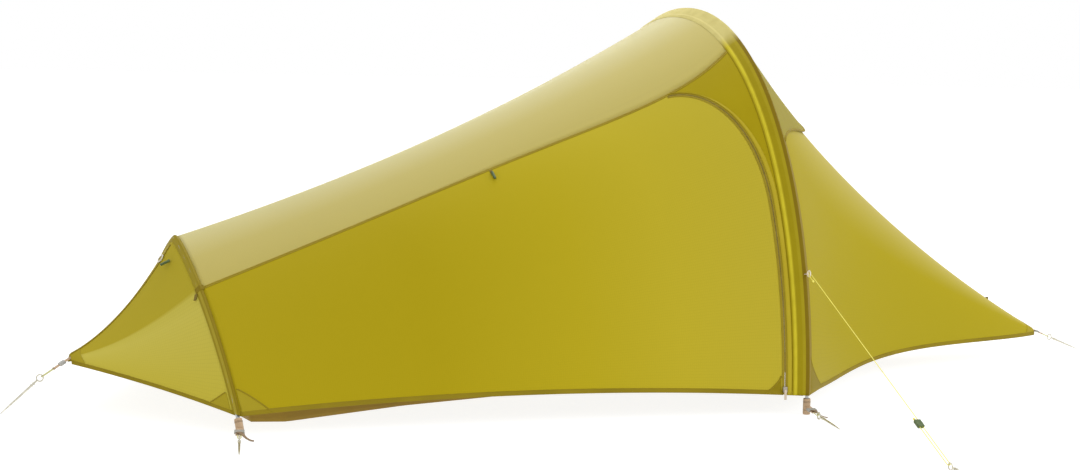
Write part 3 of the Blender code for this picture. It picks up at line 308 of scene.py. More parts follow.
# Materials
class Nodes:
    """Builds a node material with short calls."""

    def __init__(self, name):
        self.material = bpy.data.materials.new(name)
        self.material.use_nodes = True
        self.tree = self.material.node_tree
        self.tree.nodes.clear()
        self.output = self.add("OutputMaterial")

    def feed(self, socket, value):
        if isinstance(value, bpy.types.NodeSocket):
            self.tree.links.new(value, socket)
        elif hasattr(value, "__len__") and len(value) == 3 and len(socket.default_value) == 4:
            socket.default_value = (*value, 1.0)
        else:
            socket.default_value = value

    def add(self, kind, inputs=None, **settings):
        node = self.tree.nodes.new("ShaderNode" + kind)
        for key, value in settings.items():
            setattr(node, key, value)
        for key, value in (inputs or {}).items():
            self.feed(node.inputs[key], value)
        return node

    def math(self, operation, *values, clamp=False):
        return self.add("Math", dict(enumerate(values)), operation=operation, use_clamp=clamp).outputs[0]

    def part(self, value, start, length, clamp=False):
        return self.math("DIVIDE", self.math("SUBTRACT", value, start), length, clamp=clamp)

    def away(self, value, place):
        return self.math("ABSOLUTE", self.math("SUBTRACT", value, place))

    def ribs(self, value, pitch, width):
        """1 on thin lines that repeat along a value, 0 between them."""
        saw = self.away(self.math("FRACT", self.math("DIVIDE", value, pitch)), 0.5)
        return self.math("GREATER_THAN", saw, width)

    def mix(self, share, first, second):
        return self.add("Mix", {0: share, 6: first, 7: second}, data_type="RGBA").outputs[2]

    def noise(self, place, scale, detail, **inputs):
        inputs = {"Vector": place, "Scale": scale, "Detail": detail, **inputs}
        return self.add("TexNoise", inputs).outputs["Fac"]

    def ramp(self, value, stops):
        """stops: (place from 0 to 1, number or colour) pairs."""
        node = self.add("ValToRGB", {0: value})
        elements = node.color_ramp.elements
        while len(elements) < len(stops):
            elements.new(0.5)
        for element, (place, level) in zip(elements, stops):
            element.position = place
            element.color = (*level, 1.0) if hasattr(level, "__len__") else (level, level, level, 1.0)
        return node.outputs[0]

    def flat_map(self):
        """The cloth's map in metres, and its parts across and along."""
        flat = self.add("UVMap", uv_map="flat").outputs[0]
        parts = self.add("SeparateXYZ", {0: flat}).outputs
        return flat, parts[0], parts[1]

    def bump(self, height, strength, distance):
        return self.add("Bump", {"Height": height, "Strength": strength, "Distance": distance}).outputs[0]

    def finish(self, shader):
        self.tree.links.new(shader.outputs[0], self.output.inputs[0])
        return self.material

    def finish_solid(self, base, normal, roughness, **inputs):
        inputs = {key.replace("_", " "): value for key, value in inputs.items()}
        return self.finish(self.add("BsdfPrincipled", {
            "Base Color": base, "Roughness": roughness, **inputs, "Normal": normal}))

    def finish_cloth(self, base, height, bump, through, roughness=0.60, specular=0.12, sheen=0.0):
        """A cloth that lets part of the light through."""
        normal = self.bump(height, bump, 0.0003)
        front_side = self.add("BsdfPrincipled", {
            "Base Color": base, "Roughness": roughness, "Specular IOR Level": specular,
            "Sheen Weight": sheen, "Sheen Roughness": 0.4, "Normal": normal})
        glow = self.add("BsdfTranslucent", {"Color": base, "Normal": normal})
        return self.finish(self.add("MixShader", {0: through, 1: front_side.outputs[0], 2: glow.outputs[0]}))


def linear(rgb):
    """Linear colour from values out of 255."""
    return tuple(v / 255 / 12.92 if v <= 10 else ((v / 255 + 0.055) / 1.055) ** 2.4 for v in rgb)


def darker(colour, share):
    return tuple(c * share for c in colour)


THREAD = (196, 180, 74)
# Share of the painted light and shade over the cloth's own colour, and width of the blends between sleeve
# stripes
PAINTED_LIGHT_WEIGHT, BAND_BLEND = 0.9, 0.012


def cloth_material(name, rgb, deep, through=0.30, cell=0.0055, bump=0.25, painted_light=None, stitches=(), **finish):
    """Coated ripstop: a fine square grid, slight mottling, and light that comes through it.

    deep: the colour of the mottling, or its share of the cloth's colour.
    tone: (axis of the flat map, start, end, colour stops) paints light and shade along the cloth's cut.
    stitches: places across the tape where a row of thread runs along it.
    """
    n = Nodes(name)
    flat, across, along = n.flat_map()
    colour = linear(rgb)
    grid = n.math("MAXIMUM", n.ribs(across, cell, 0.44), n.ribs(along, cell, 0.44))
    large = n.noise(flat, 5.0, 3.0, Roughness=0.55)
    deep = darker(colour, deep) if isinstance(deep, float) else linear(deep)
    base = n.mix(n.ramp(large, [(0.38, 0.0), (0.64, 1.0)]), colour, deep)
    # Painted light and shade along the cut, laid over the cloth's own colour
    if painted_light:
        axis, start, end, stops = painted_light
        place = n.part((across, along)[axis], start, end - start, clamp=True)
        base = n.mix(PAINTED_LIGHT_WEIGHT, base, n.ramp(place, [(at, linear(shade)) for at, shade in stops]))
    base = n.mix(n.math("MULTIPLY", grid, 0.14), base, darker(colour, 0.66))
    fine = n.noise(flat, 320.0, 2.0)
    height = n.math("ADD", n.math("MULTIPLY", grid, 0.6), n.math("MULTIPLY", fine, 0.5))
    if stitches:
        dash = n.math("LESS_THAN", n.math("FRACT", n.math("DIVIDE", along, 0.0042)), 0.68)
        for place in stitches:
            row = n.math("MULTIPLY", n.math("LESS_THAN", n.away(across, place), 0.00035), dash)
            base = n.mix(row, base, linear(THREAD))
            height = n.math("ADD", height, n.math("MULTIPLY", row, 1.5))
    return n.finish_cloth(base, height, bump, through, **finish)


def stops_across(profile, bands):
    """Colour stops with narrow blends from (end of the band in metres across, colour) pairs."""
    start, span = profile[0][0], profile[-1][0] - profile[0][0]
    stops, before = [(0.0, linear(bands[0][1]))], None
    for end, colour in bands:
        if before is not None:
            stops.append((before + BAND_BLEND, linear(colour)))
        before = min(1.0, (end - start) / span)
        stops.append((max(0.0, before - BAND_BLEND), linear(colour)))
    return stops


def banded_material(name, profile, below, above, hoop, cell):
    """Sewn cover of a hoop: stripes across it below the seams, and other ones above them, partly the cover's
    own colours and partly painted highlight and painted shade.
    """
    n = Nodes(name)
    flat, across, along = n.flat_map()
    below, above = stops_across(profile, below), stops_across(profile, above)
    across = n.math("DIVIDE", across, profile[-1][0] - profile[0][0], clamp=True)
    from_ridge = n.away(along, hoop.length / 2)
    low = n.part(from_ridge, hoop.length / 2 - hoop.seam - 0.030, 0.045, clamp=True)
    base = n.mix(low, n.ramp(across, above), n.ramp(across, below))
    stains = n.ramp(n.noise(flat, 26.0, 3.0), [(0.40, 0.0), (0.75, 0.22)])
    base = n.mix(stains, base, darker(below[0][1], 0.9))
    height = n.math("ADD", n.math("MULTIPLY", n.ribs(along, cell, 0.42), 0.5), n.noise(flat, 320.0, 2.0))
    return n.finish_cloth(base, height, 0.3, 0.2)


def solid_material(name, rgb, roughness=0.5, metallic=0.0, grain=60.0):
    """Moulded or drawn material: speckled colour, fine grain and rubbed patches."""
    n = Nodes(name)
    colour = linear(rgb)
    place = n.add("TexCoord").outputs["Object"]
    grit = n.noise(place, grain * 10, 4.0)
    worn = tuple(min(1.0, c * 1.35 + 0.02) for c in colour)
    base = n.mix(n.ramp(n.noise(place, grain, 3.0), [(0.45, 0.0), (0.70, 1.0)]), colour, worn)
    base = n.mix(n.math("MULTIPLY", grit, 0.25), base, darker(colour, 0.7))
    rough = n.math("ADD", n.math("MULTIPLY", grit, 0.2), roughness - 0.1)
    return n.finish_solid(base, n.bump(grit, 0.15, 0.0002), rough, Metallic=metallic)


def web_material(name, rgb, rib=0.0014):
    """Woven tape: ribs across it, finer rows along it and darker patches."""
    n = Nodes(name)
    colour = linear(rgb)
    flat, across, along = n.flat_map()
    ribs = n.math("SINE", n.math("MULTIPLY", along, 2 * math.pi / rib))
    rows = n.math("SINE", n.math("MULTIPLY", across, 2 * math.pi / (rib * 1.5)))
    weave = n.math("ADD", n.math("MULTIPLY", ribs, 0.33), n.math("MULTIPLY", rows, 0.16))
    weave = n.math("ADD", weave, 0.5, clamp=True)
    base = n.mix(weave, darker(colour, 0.62), tuple(min(1.0, c * 1.25) for c in colour))
    base = n.mix(n.ramp(n.noise(flat, 60.0, 3.0), [(0.45, 0.0), (0.75, 0.5)]), base, darker(colour, 0.75))
    return n.finish_solid(base, n.bump(weave, 0.5, 0.0004), 0.8, Specular_IOR_Level=0.25)


def cord_material(name, first, second, pitch=0.0042):
    """Braided cord: slanting bands of two colours."""
    n = Nodes(name)
    place = n.add("TexCoord").outputs["Object"]
    wave = n.add("TexWave", {"Vector": place, "Scale": 1.0 / pitch, "Distortion": 1.0},
                 bands_direction="DIAGONAL").outputs["Fac"]
    base = n.mix(n.ramp(wave, [(0.35, 0.0), (0.65, 1.0)]), linear(first), linear(second))
    return n.finish_solid(base, n.bump(wave, 0.4, 0.0002), 0.7)


def cut_length(surface, share, low, high):
    """Length of a cloth between two girths."""
    return float(walk(surface(share, np.linspace(low, high, 60)))[-1])


fabric = {
    # Wall: painted light, darker towards the foot end and lighter towards the main hoop
    "wall": cloth_material("wall_ripstop", (184, 166, 22), (181, 163, 18), painted_light=(0, -0.70, 0.72, [
        (0.0, (186, 167, 16)), (0.35, (186, 167, 10)), (0.62, (196, 178, 26)), (0.80, (202, 185, 44)),
        (1.0, (200, 184, 54))])),
    "surround": cloth_material("zip_surround_ripstop", (178, 159, 6), (175, 156, 4)),
    # Front apse: painted highlight, the cloth growing paler towards the ridge
    "front": cloth_material("front_apse_ripstop", (184, 168, 28), (181, 165, 24), painted_light=(
        1, 0.0, cut_length(front, 0.45, NEAR_HEM, RIDGE), [
            (0.0, (185, 169, 30)), (0.50, (187, 170, 24)), (0.68, (198, 183, 76)), (1.0, (212, 199, 128))])),
    # Rear apse: painted shade, lighter below the crease across the panel and darker above it
    "rear": cloth_material("rear_apse_ripstop", (184, 169, 50), (179, 163, 42), painted_light=(
        1, 0.0, cut_length(rear, 0.5, NEAR_HEM, RIDGE), [
            (0.0, (206, 192, 66)), (0.50, (212, 200, 90)), (0.585, (208, 196, 84)), (0.61, (190, 173, 44)),
            (1.0, (188, 171, 42))])),
    # Roof: the wall's cloth given a painted highlight for the light from above, paler still near the ridge
    "roof": cloth_material("roof_ripstop", (208, 195, 112), (205, 192, 108), through=0.4, specular=0.3,
                           sheen=0.25, painted_light=(1, 0.0, cut_length(tunnel, 0.5, 0.95, 3.05), [
        (0.0, (208, 194, 104)), (0.22, (212, 199, 116)), (0.46, (226, 219, 164)), (1.0, (214, 202, 124))])),
    "hood": cloth_material("hood_ripstop", (183, 170, 64), (179, 165, 60), through=0.4, specular=0.2),
    "hem": cloth_material("hem_binding", (146, 127, 22), 0.85, through=0.1, cell=0.003, bump=0.5,
                          stitches=(0.0082,)),
    "seam": cloth_material("seam_tape", (142, 122, 18), (138, 117, 15), through=0.1, cell=0.003, bump=0.5,
                           stitches=(0.0022, 0.0072)),
    "patch": cloth_material("corner_patch", (170, 153, 34), (166, 148, 30), through=0.15, bump=0.4),
    "dark": cloth_material("dark_corner_patch", (142, 124, 10), (138, 119, 8), through=0.15, bump=0.4),
    "blob": cloth_material("seam_patch_cloth", (132, 113, 16), (126, 106, 12), through=0.1, cell=0.003,
                           bump=0.5),
    "zip": cloth_material("zip_tape", (150, 132, 34), (142, 123, 28), through=0.05, cell=0.0016, bump=0.6,
                          stitches=(0.0062,)),
    "flap": cloth_material("zip_flap", (182, 164, 40), (176, 156, 30), through=0.15, cell=0.004),
    "inner": cloth_material("inner_fabric", (226, 216, 178), (216, 205, 164), through=0.4, cell=0.003),
    "tub": cloth_material("tub_fabric", (156, 128, 52), (150, 121, 46), through=0.05, roughness=0.5),
    "net": cloth_material("net_fabric", (86, 80, 48), (74, 68, 40), through=0.4, cell=0.0014, bump=0.8),
}
webbing = web_material("anchor_webbing", (190, 162, 130))
dark_webbing = web_material("tail_webbing", (140, 118, 92))
tack_thread = solid_material("tack_thread", (96, 78, 52), roughness=0.8, grain=200.0)
pale_plastic = solid_material("ring_plastic", (214, 204, 186), roughness=0.40, grain=120.0)
tab_web = web_material("tab_webbing", (122, 104, 40))
pale_web = web_material("pale_webbing", (206, 190, 170))


# Geometry
def as_made(grid):
    return grid


def mirrored(grid):
    return np.asarray(grid) * np.array([1.0, -1.0, 1.0])


SIDES = (("near", as_made), ("far", mirrored))


def piece(name, mesh, body="tent", stands_for=(), bend=None):
    """Links a mesh as a piece on a body, or, given a bend, as a loose piece with its place baked in."""
    made = linked(name, mesh)
    if bend:
        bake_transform(made)
    else:
        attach(made, body)
    if stands_for:
        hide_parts(*stands_for)
    return made


def grid_mesh(name, grid, uv, material, loop_rows=False, loop_columns=False, left_out=None):
    """Smooth quads through a grid of points, with a map of the flat cut in metres."""
    rows, columns = grid.shape[:2]
    mesh = bpy.data.meshes.new(name)
    faces, corners = [], []
    for i in range(rows if loop_rows else rows - 1):
        for k in range(columns if loop_columns else columns - 1):
            if left_out and left_out(i, k):
                continue
            j, m = (i + 1) % rows, (k + 1) % columns
            faces.append((i * columns + k, i * columns + m, j * columns + m, j * columns + k))
            corners.append(((i, k), (i, k + 1), (i + 1, k + 1), (i + 1, k)))
    mesh.from_pydata([tuple(map(float, p)) for p in grid.reshape(-1, 3)], [], faces)
    layer = mesh.uv_layers.new(name="flat")
    pad = np.zeros((rows + 1, columns + 1, 2))
    pad[:rows, :columns] = uv
    pad[rows, :columns] = 2 * uv[-1] - uv[-2]
    pad[:, columns] = 2 * pad[:, columns - 1] - pad[:, columns - 2]
    layer.uv.foreach_set("vector", np.array([pad[c] for quad in corners for c in quad], np.float32).ravel())
    mesh.materials.append(material)
    mesh.shade_smooth()
    mesh.update()
    return mesh


def closed(mesh, fill=True):
    """Fills the open ends of a mesh and turns its faces outwards."""
    shape = bmesh.new()
    shape.from_mesh(mesh)
    if fill:
        bmesh.ops.holes_fill(shape, edges=[e for e in shape.edges if e.is_boundary], sides=0)
    bmesh.ops.recalc_face_normals(shape, faces=shape.faces)
    shape.to_mesh(mesh)
    shape.free()
    return mesh


def flat_map(grid):
    """Map in metres that follows the middle of the cloth both ways."""
    across = walk(grid[:, grid.shape[1] // 2])
    along = np.zeros(grid.shape[:2])
    along[:, 1:] = np.cumsum(np.linalg.norm(np.diff(grid, axis=1), axis=2), axis=1)
    along -= along[:, [-1]] / 2
    return np.stack([along, np.repeat(across[:, None], grid.shape[1], 1)], -1)


def out_of(grid):
    """Outward unit directions at the points of a grid on the fly."""
    down, along = np.gradient(grid, axis=0), np.gradient(grid, axis=1)
    normal = unit(np.cross(down, along) + 1e-12)
    middle = grid.mean((0, 1)) * np.array([1.0, 0.0, 0.0]) + np.array([0.0, 0.0, 0.02])
    return normal if (normal * (grid - middle)).sum() > 0 else -normal


def thicken(made, thickness, offset=0.0):
    thick = made.modifiers.new("thickness", "SOLIDIFY")
    thick.thickness = thickness
    thick.offset = offset
    return made


def shell(name, grid, material, slot, thickness=CLOTH, stands_for=(), uv=None, body="tent", **settings):
    """A cloth through a grid of points, thickened to both sides."""
    mesh = grid_mesh(name, grid, flat_map(grid) if uv is None else uv, material, **settings)
    return thicken(piece(name, mesh, body, stands_for), thickness)


def panel(name, grid, material, stands_for=(), lift=0.0, thickness=CLOTH, bend=None):
    """A sheet of cloth through a grid of points, thickened towards the inside."""
    normal = out_of(grid)
    shaped = grid + lift * normal
    mesh = grid_mesh(name, shaped, flat_map(shaped), material)
    facing = np.cross(shaped[1, 1] - shaped[0, 0], shaped[1, 0] - shaped[0, 1])
    if (facing * normal[0, 0]).sum() < 0:
        mesh.flip_normals()
    return thicken(piece(name, mesh, "tent", stands_for, bend), thickness, -1.0)


def strip(name, line, width_way, lift_way, profile, material, body="tent", slot="wall_cloth", stands_for=(),
          bend=None):
    """A closed band along a line. profile: (across, out) offsets in metres round its section."""
    line, width_way, lift_way = (np.asarray(v, float) for v in (line, width_way, lift_way))
    grid = np.stack([line + a * width_way + o * lift_way for a, o in profile], 1)
    uv = np.stack(np.meshgrid([a - profile[0][0] for a, _ in profile], walk(line)), -1)
    mesh = grid_mesh(name, grid, uv, material, loop_columns=True)
    return piece(name, closed(mesh), body, stands_for, bend)


def tape_profile(low, high, lift, edge, shoulder):
    """Section of a flat tape with soft edges that sink a little into the cloth."""
    return [(low, -0.0003), (low + 0.0002, lift * shoulder), (low + edge, lift), (high - edge, lift),
            (high - 0.0002, lift * shoulder), (high, -0.0003)]


def taped(name, line, out, width=0.0094, lift=0.0008, middle=0.0):
    """A flat tape sewn along a line of the fly."""
    across = unit(np.cross(out, np.gradient(line, axis=0)))
    profile = tape_profile(middle - width / 2, middle + width / 2, lift, 0.0014, 0.6)
    return strip(name, line, across, out, profile, fabric["seam"])


def bound(name, line, out, up, width=0.0105, **settings):
    """A binding folded round the edge of a cloth. up points from the edge into the cloth."""
    profile = [(width, 0.0002), (width - 0.0012, 0.0010), (0.0012, 0.0012), (-0.0008, 0.0008),
               (-0.0014, -0.0004), (-0.0006, -0.0014), (width - 0.0012, -0.0013), (width, -0.0007)]
    return strip(name, line, up, out, profile, fabric["hem"], **settings)


def ring_of(sides, first, second):
    """Unit directions round an axis, from one side over the other."""
    angle = np.linspace(0, 2 * math.pi, sides, endpoint=False)[:, None]
    return np.cos(angle) * first + np.sin(angle) * second


def tube(name, points, radius, material, body="tent", stands_for=(), sides=10, loop=False):
    """A round tube along a line of points; radius is one number or one for each point."""
    points = np.asarray(points, float)
    runs = np.roll(points, -1, 0) - np.roll(points, 1, 0) if loop else np.gradient(points, axis=0)
    runs = unit(runs)
    side = unit(np.cross(runs[0], np.eye(3)[np.abs(runs[0]).argmin()]))
    rings = []
    for point, run, size in zip(points, runs, np.broadcast_to(radius, len(points))):
        side = unit(side - run * float(side @ run))
        rings.append(point + size * ring_of(sides, side, np.cross(run, side)))
    uv = np.stack(np.meshgrid(np.linspace(0, 2 * math.pi * float(np.mean(radius)), sides), walk(points)), -1)
    mesh = grid_mesh(name, np.array(rings), uv, material, loop_rows=loop, loop_columns=True)
    return piece(name, closed(mesh, fill=not loop), body, stands_for)


def surface_out(surface, share, girth, step=0.004):
    """Outward directions of a surface of shares and girths."""
    share, girth = np.broadcast_arrays(np.asarray(share, float), np.asarray(girth, float))
    along = surface(np.clip(share + step, 0, 1), girth) - surface(np.clip(share - step, 0, 1), girth)
    above, below = (np.clip(girth + way, NEAR_HEM, FAR_HEM) for way in (step, -step))
    up = surface(share, above) - surface(share, below)
    normal = unit(np.cross(along, up))
    middle = surface(share, girth) * np.array([0.0, 1.0, 1.0]) - np.array([0.0, 0.0, 0.02])
    return normal * np.sign((normal * middle).sum(-1, keepdims=True))


def surface_up(surface, share, girth, step=0.02):
    share, girth = np.broadcast_arrays(np.asarray(share, float), np.asarray(girth, float))
    return unit(surface(share, girth + step) - surface(share, girth))


# Guyline: starts below its ring, round the wire, round the peg's eye and back to the tensioner
ring_place = np.array([0.0, -0.64270, 0.36620])
guy_peg_place = np.array([*GUY_END, RING_Z])
guy_length = float(np.linalg.norm(guy_peg_place - ring_place))
guy_line = unit(guy_peg_place - ring_place)
guy_out = unit(guy_line * np.array([1.0, 1.0, 0.0]))
guy_side = np.cross(UP, guy_out)
half_gap = GUY_STRAND_GAP / 2
bearing = half_gap - GUY_CORD_RADIUS - PEG_WIRE_RADIUS - 0.0003
upper_wire = ring_place + guy_line * (GUY_RING_RADIUS + bearing)
lower_wire = guy_peg_place - guy_line * (bearing + PEG_RING_RADIUS)
turns = np.linspace(-math.pi / 2, math.pi / 2, 13)
tie = [upper_wire + half_gap * (-math.cos(a) * guy_line + math.sin(a) * guy_side) for a in turns]
eye = [lower_wire + half_gap * (math.cos(a) * guy_line + math.sin(a) * guy_side) for a in turns[::-1]]
tensioner_place = ring_place + guy_line * guy_length * TENSIONER_SHARE
tail_end = tensioner_place - guy_line * (TENSIONER_LENGTH / 2 + 0.006) - guy_side * half_gap
route = [tie[0] + guy_line * 0.030, tie[0] + guy_line * 0.015, *tie,
         *between(tie[-1], eye[0], np.linspace(0.04, 0.96, 12)), *eye, (eye[-1] + tail_end) / 2, tail_end]

line_cord = cord_material("guy_cord_braid", (238, 228, 110), (220, 210, 84))
loop_cord = cord_material("loop_cord_braid", (206, 204, 150), (186, 184, 126))
dark_cord = cord_material("shock_cord_braid", (52, 50, 48), (34, 33, 32))
cord_curve = bpy.data.curves.new("guyline_cord", "CURVE")
cord_curve.dimensions = "3D"
cord_curve.bevel_depth = GUY_CORD_RADIUS
cord_curve.bevel_resolution = 3
cord_curve.use_fill_caps = True
spline = cord_curve.splines.new("POLY")
spline.points.add(len(route) - 1)
for point, place in zip(spline.points, route):
    point.co = (*map(float, place), 1.0)
cord_curve.materials.append(line_cord)
guyline = piece("guyline_cord", cord_curve, "tent", ["guyline"])
knot_run = guy_line * np.linspace(-0.004, 0.004, 9)[:, None]
knot_shape = 0.0012 + 0.0016 * np.sin(np.linspace(0, math.pi, 9)) ** 0.6
knots = [tube(f"guyline_knot_{i}", place + knot_run, knot_shape, line_cord)
         for i, place in enumerate((tie[0] + guy_line * 0.027, tail_end))]

# Stage: white floor and backdrop under soft studio light
FLOOR_HALF, FLOOR_Z = 40, -0.0004
floor_mesh = bpy.data.meshes.new("floor")
floor_corners = [(x * FLOOR_HALF, y * FLOOR_HALF, FLOOR_Z) for x, y in ((-1, -1), (1, -1), (1, 1), (-1, 1))]
floor_mesh.from_pydata(floor_corners, [], [(0, 1, 2, 3)])
floor_nodes = Nodes("white_floor")
white = floor_nodes.add("BsdfDiffuse", {"Color": (0.30, 0.30, 0.30)})
shine = floor_nodes.add("Emission", {"Color": (1.0, 1.0, 1.0), "Strength": 0.88})
floor_shader = floor_nodes.add("AddShader", {0: white.outputs[0], 1: shine.outputs[0]})
floor_mesh.materials.append(floor_nodes.finish(floor_shader))
linked("floor", floor_mesh)

world = bpy.data.worlds.new("studio")
world.use_nodes = True
world.node_tree.nodes["Background"].inputs["Color"].default_value = (1.0, 1.0, 1.0, 1.0)
world.node_tree.nodes["Background"].inputs["Strength"].default_value = 1.0
bpy.context.scene.world = world
bpy.context.scene.view_settings.view_transform = "Standard"
for name, place, target, size, power in (
        ("top_softbox", (0.4, 1.2, 3.6), (-0.3, 0.0, 0.3), (3.5, 2.5), 70.0),
        ("back_softbox", (0.8, 3.2, 1.6), (-0.3, 0.0, 0.5), (3.5, 1.6), 40.0),
        ("key_softbox", (3.0, -3.4, 2.4), (0.1, 0.0, 0.4), (2.2, 1.6), 40.0)):
    light = bpy.data.lights.new(name, "AREA")
    light.shape = "RECTANGLE"
    light.size, light.size_y = size
    light.energy = power
    made = linked(name, light)
    made.location = place
    made.rotation_euler = (Vector(target) - Vector(place)).to_track_quat("-Z", "Y").to_euler()

# Near wall and door as one cloth across the hinge, and the strip between the zip and the main hoop
FLY_START, FLY_END = 0.004, HOOP_SPACING - 0.012
HINGE_FOLD = 0.085
DOOR_EDGE, SURROUND_EDGE = -0.004, 0.003


def up_to_seam(rows, x, shares):
    """Rows of a flat cut, with more of them from the last one up to the seam."""
    return np.concatenate([rows, between(rows[-1], np.stack([x, seam_height(x)], -1), shares)])


hinge_height = float(seam_height(DOOR_HINGE_TOP))
hinge_axis = unit(next(j for j in frame["joints"] if j["name"] == "door_hinge")["axis"])
hinge_middle = wall((hinge_x(0.5), hinge_height / 2))
hinge_way = wall((hinge_x(0.5) + 0.1, hinge_height / 2)) - hinge_middle
hinge_way = unit(hinge_way - hinge_axis * float(hinge_way @ hinge_axis))
at_hinge = ("tent", "door", tuple(hinge_middle), tuple(hinge_middle + hinge_way * HINGE_FOLD))

door_edge = zip_line(DOOR_EDGE)
row_shares = door_edge[:, 1] / float(seam_height(zip_line(0.0)[-1][0]))
door_flat = [between((hinge_x(f), f * hinge_height), end, np.linspace(0.0, 1.0, 60))
             for end, f in zip(door_edge, row_shares)]
door_flat = up_to_seam(door_flat, np.linspace(DOOR_HINGE_TOP, door_edge[-1][0], 60), (0.34, 0.67, 1.0))
near_x = np.linspace(FLY_START, DOOR_HINGE_TOP, 64)
seam_top = seam_height(near_x)
straight = np.linspace(seam_top[0], hinge_height, len(near_x))
near_flat = [np.stack([np.linspace(FLY_START, hinge_x(f), len(near_x)),
                       f * straight + f**3 * (seam_top - straight)], -1) for f in row_shares]
near_flat = up_to_seam(near_flat, near_x, (0.34, 0.67, 1.0))
side_flat = np.concatenate([near_flat[:, :-1], door_flat], 1)
side_grid = wall(side_flat)
near_cloth = panel("near_wall_and_door_cloth", side_grid, fabric["wall"],
                   stands_for=["near_wall", "door_panel"], bend=at_hinge)

surround_edge = zip_line(SURROUND_EDGE)
zip_end_x, zip_end_r = surround_edge[-1]
end_height = float(seam_height(FLY_END))
below_seam = float(seam_height(zip_end_x)) - zip_end_r
columns = np.linspace(0.0, 1.0, 24)
surround_flat = []
for x, r in surround_edge:
    row = between((x, r), (FLY_END, end_height * r / zip_end_r), columns)
    chord = zip_end_r + (end_height - zip_end_r) * (row[:, 0] - zip_end_x) / (FLY_END - zip_end_x)
    to_seam = (seam_height(row[:, 0]) - below_seam) / chord - 1
    row[:, 1] *= 1 + to_seam * (row[:, 1] / chord) ** 4 * np.clip(columns / 0.12, 0.0, 1.0)
    surround_flat.append(row)
surround_grid = wall(up_to_seam(surround_flat, np.linspace(zip_end_x, FLY_END, 24), (0.5, 1.0)))
surround_cloth = panel("zip_surround_cloth", surround_grid, fabric["surround"], stands_for=["door_surround"])

# Roof strip and far wall
roof_shares = np.linspace(FLY_START, FLY_END, 110) / HOOP_SPACING
seam = seam_girth(roof_shares)
roof_grid = np.array([tunnel(roof_shares, seam + (FAR_HEM - 2 * seam) * t)
                      for t in np.linspace(0.0, 1.0, 96)])
roof_cloth = panel("roof_cloth", roof_grid, fabric["roof"], ["roof_panel"])
far_grid = np.array([tunnel(roof_shares, FAR_HEM - seam + seam * t) for t in np.linspace(0.0, 1.0, 56)])
far_cloth = panel("far_wall_cloth", far_grid, fabric["wall"], stands_for=["far_wall"])

# Apses
APSE_START, REAR_START, HOOD_START = 0.006 / FRONT_REACH, 0.005 / REAR_REACH, 0.0121 / FRONT_REACH
NET_START, NET_OVERLAP = 0.0134 / FRONT_REACH, 0.0075
NET_DEPTH, HOOD_BASE_LIFT = 0.0026, 0.0018


def vent_lip(girth):
    """Share of the front apse that the hood reaches: its lip is nearly level from corner to corner."""
    corner = main_hoop.at(HOOD_CORNER - 0.01)[2]
    heights = np.stack(np.broadcast_arrays(main_hoop.at(girth)[..., 2], main_hoop.at(RIDGE)[2]))
    rises = np.clip((heights - corner) / (heights - FRONT_TIP_HEIGHT), 0.0, 1.0)
    return HOOD_START + HOOD_REACH / FRONT_REACH * (rises[0] / rises[1]) ** HOOD_POINT


front_girths = np.concatenate([np.linspace(0.0, HOOD_CORNER, 26)[:-1], np.linspace(HOOD_CORNER, RIDGE, 56)])
vent_edge = np.where(front_girths < HOOD_CORNER, APSE_START,
                     np.maximum(APSE_START, vent_lip(front_girths) - VENT_OVERLAP / FRONT_REACH))
apse_grids = {
    "front": np.array([front(np.linspace(start, 1.0, 84), g) for g, start in zip(front_girths, vent_edge)]),
    "rear": np.array([rear(np.linspace(REAR_START, 1.0, 40), g) for g in np.linspace(NEAR_HEM, RIDGE, 44)])}
for side, flip in SIDES:
    for end, grid in apse_grids.items():
        panel(f"{end}_apse_{side}_cloth", flip(grid), fabric[end],
                                       stands_for=[f"{end}_apse_{side}"])

# Hood, pulled straight from the hoop to its lip, and the net under it
hood_rows, net_rows = [], []
hood_girths = np.linspace(HOOD_CORNER, RIDGE, 48)
for g in np.concatenate([hood_girths, np.linspace(RIDGE, FAR_HEM - HOOD_CORNER, 48)[1:]]):
    lip = float(vent_lip(g))
    peak = 1 - abs(RIDGE - g) / (RIDGE - HOOD_CORNER)
    lift = HOOD_BASE_LIFT + (HOOD_LIP_LIFT - HOOD_BASE_LIFT) * (lip - HOOD_START) * FRONT_REACH / HOOD_REACH
    lift += (HOOD_LIFT - HOOD_LIP_LIFT) * peak**3
    base = front(HOOD_START, g) + HOOD_BASE_LIFT * surface_out(front, HOOD_START, g)
    rim = front(lip, g) + lift * surface_out(front, lip, g)
    hood_rows.append(between(base, rim, np.linspace(0.0, 1.0, 24)))
    share = np.linspace(NET_START, max(NET_START, lip - VENT_OVERLAP / FRONT_REACH) + NET_OVERLAP, 12)
    net_rows.append(front(share, g) - NET_DEPTH * surface_out(front, share, g))
hood_grid, net_grid = np.array(hood_rows), np.array(net_rows)
hood_cloth = panel("hood_cloth", hood_grid, fabric["hood"], ["vent_hood"])
net_cloth = panel("vent_net", net_grid, fabric["net"], ["vent_mesh"])
hood_hem = bound("hood_hem_binding", hood_grid[:, -1], out_of(hood_grid)[:, -1],
                 unit(hood_grid[:, -2] - hood_grid[:, -1]), slot="roof_cloth")


# Sleeves over the hoops
def over_main(across, girth):
    """Fly on either side of the main hoop, at a distance across it."""
    if across < 0:
        return tunnel(1 + across / HOOP_SPACING, girth)
    return front(across / FRONT_REACH, girth)


def over_foot(across, girth):
    if across < 0:
        return rear(-across / REAR_REACH, girth)
    return tunnel(across / HOOP_SPACING, girth)


def over_hoop(hoop, over, profile, places, distance, lift=0.0):
    """Grid over a hoop. profile: (place across it, height over the fly) pairs."""
    inward, girth = hoop.inward_at(distance), hoop.girth(distance)
    heights = np.interp(places, *zip(*profile))
    return np.array([over(a, girth) - (h + lift) * inward for a, h in zip(places, heights)])


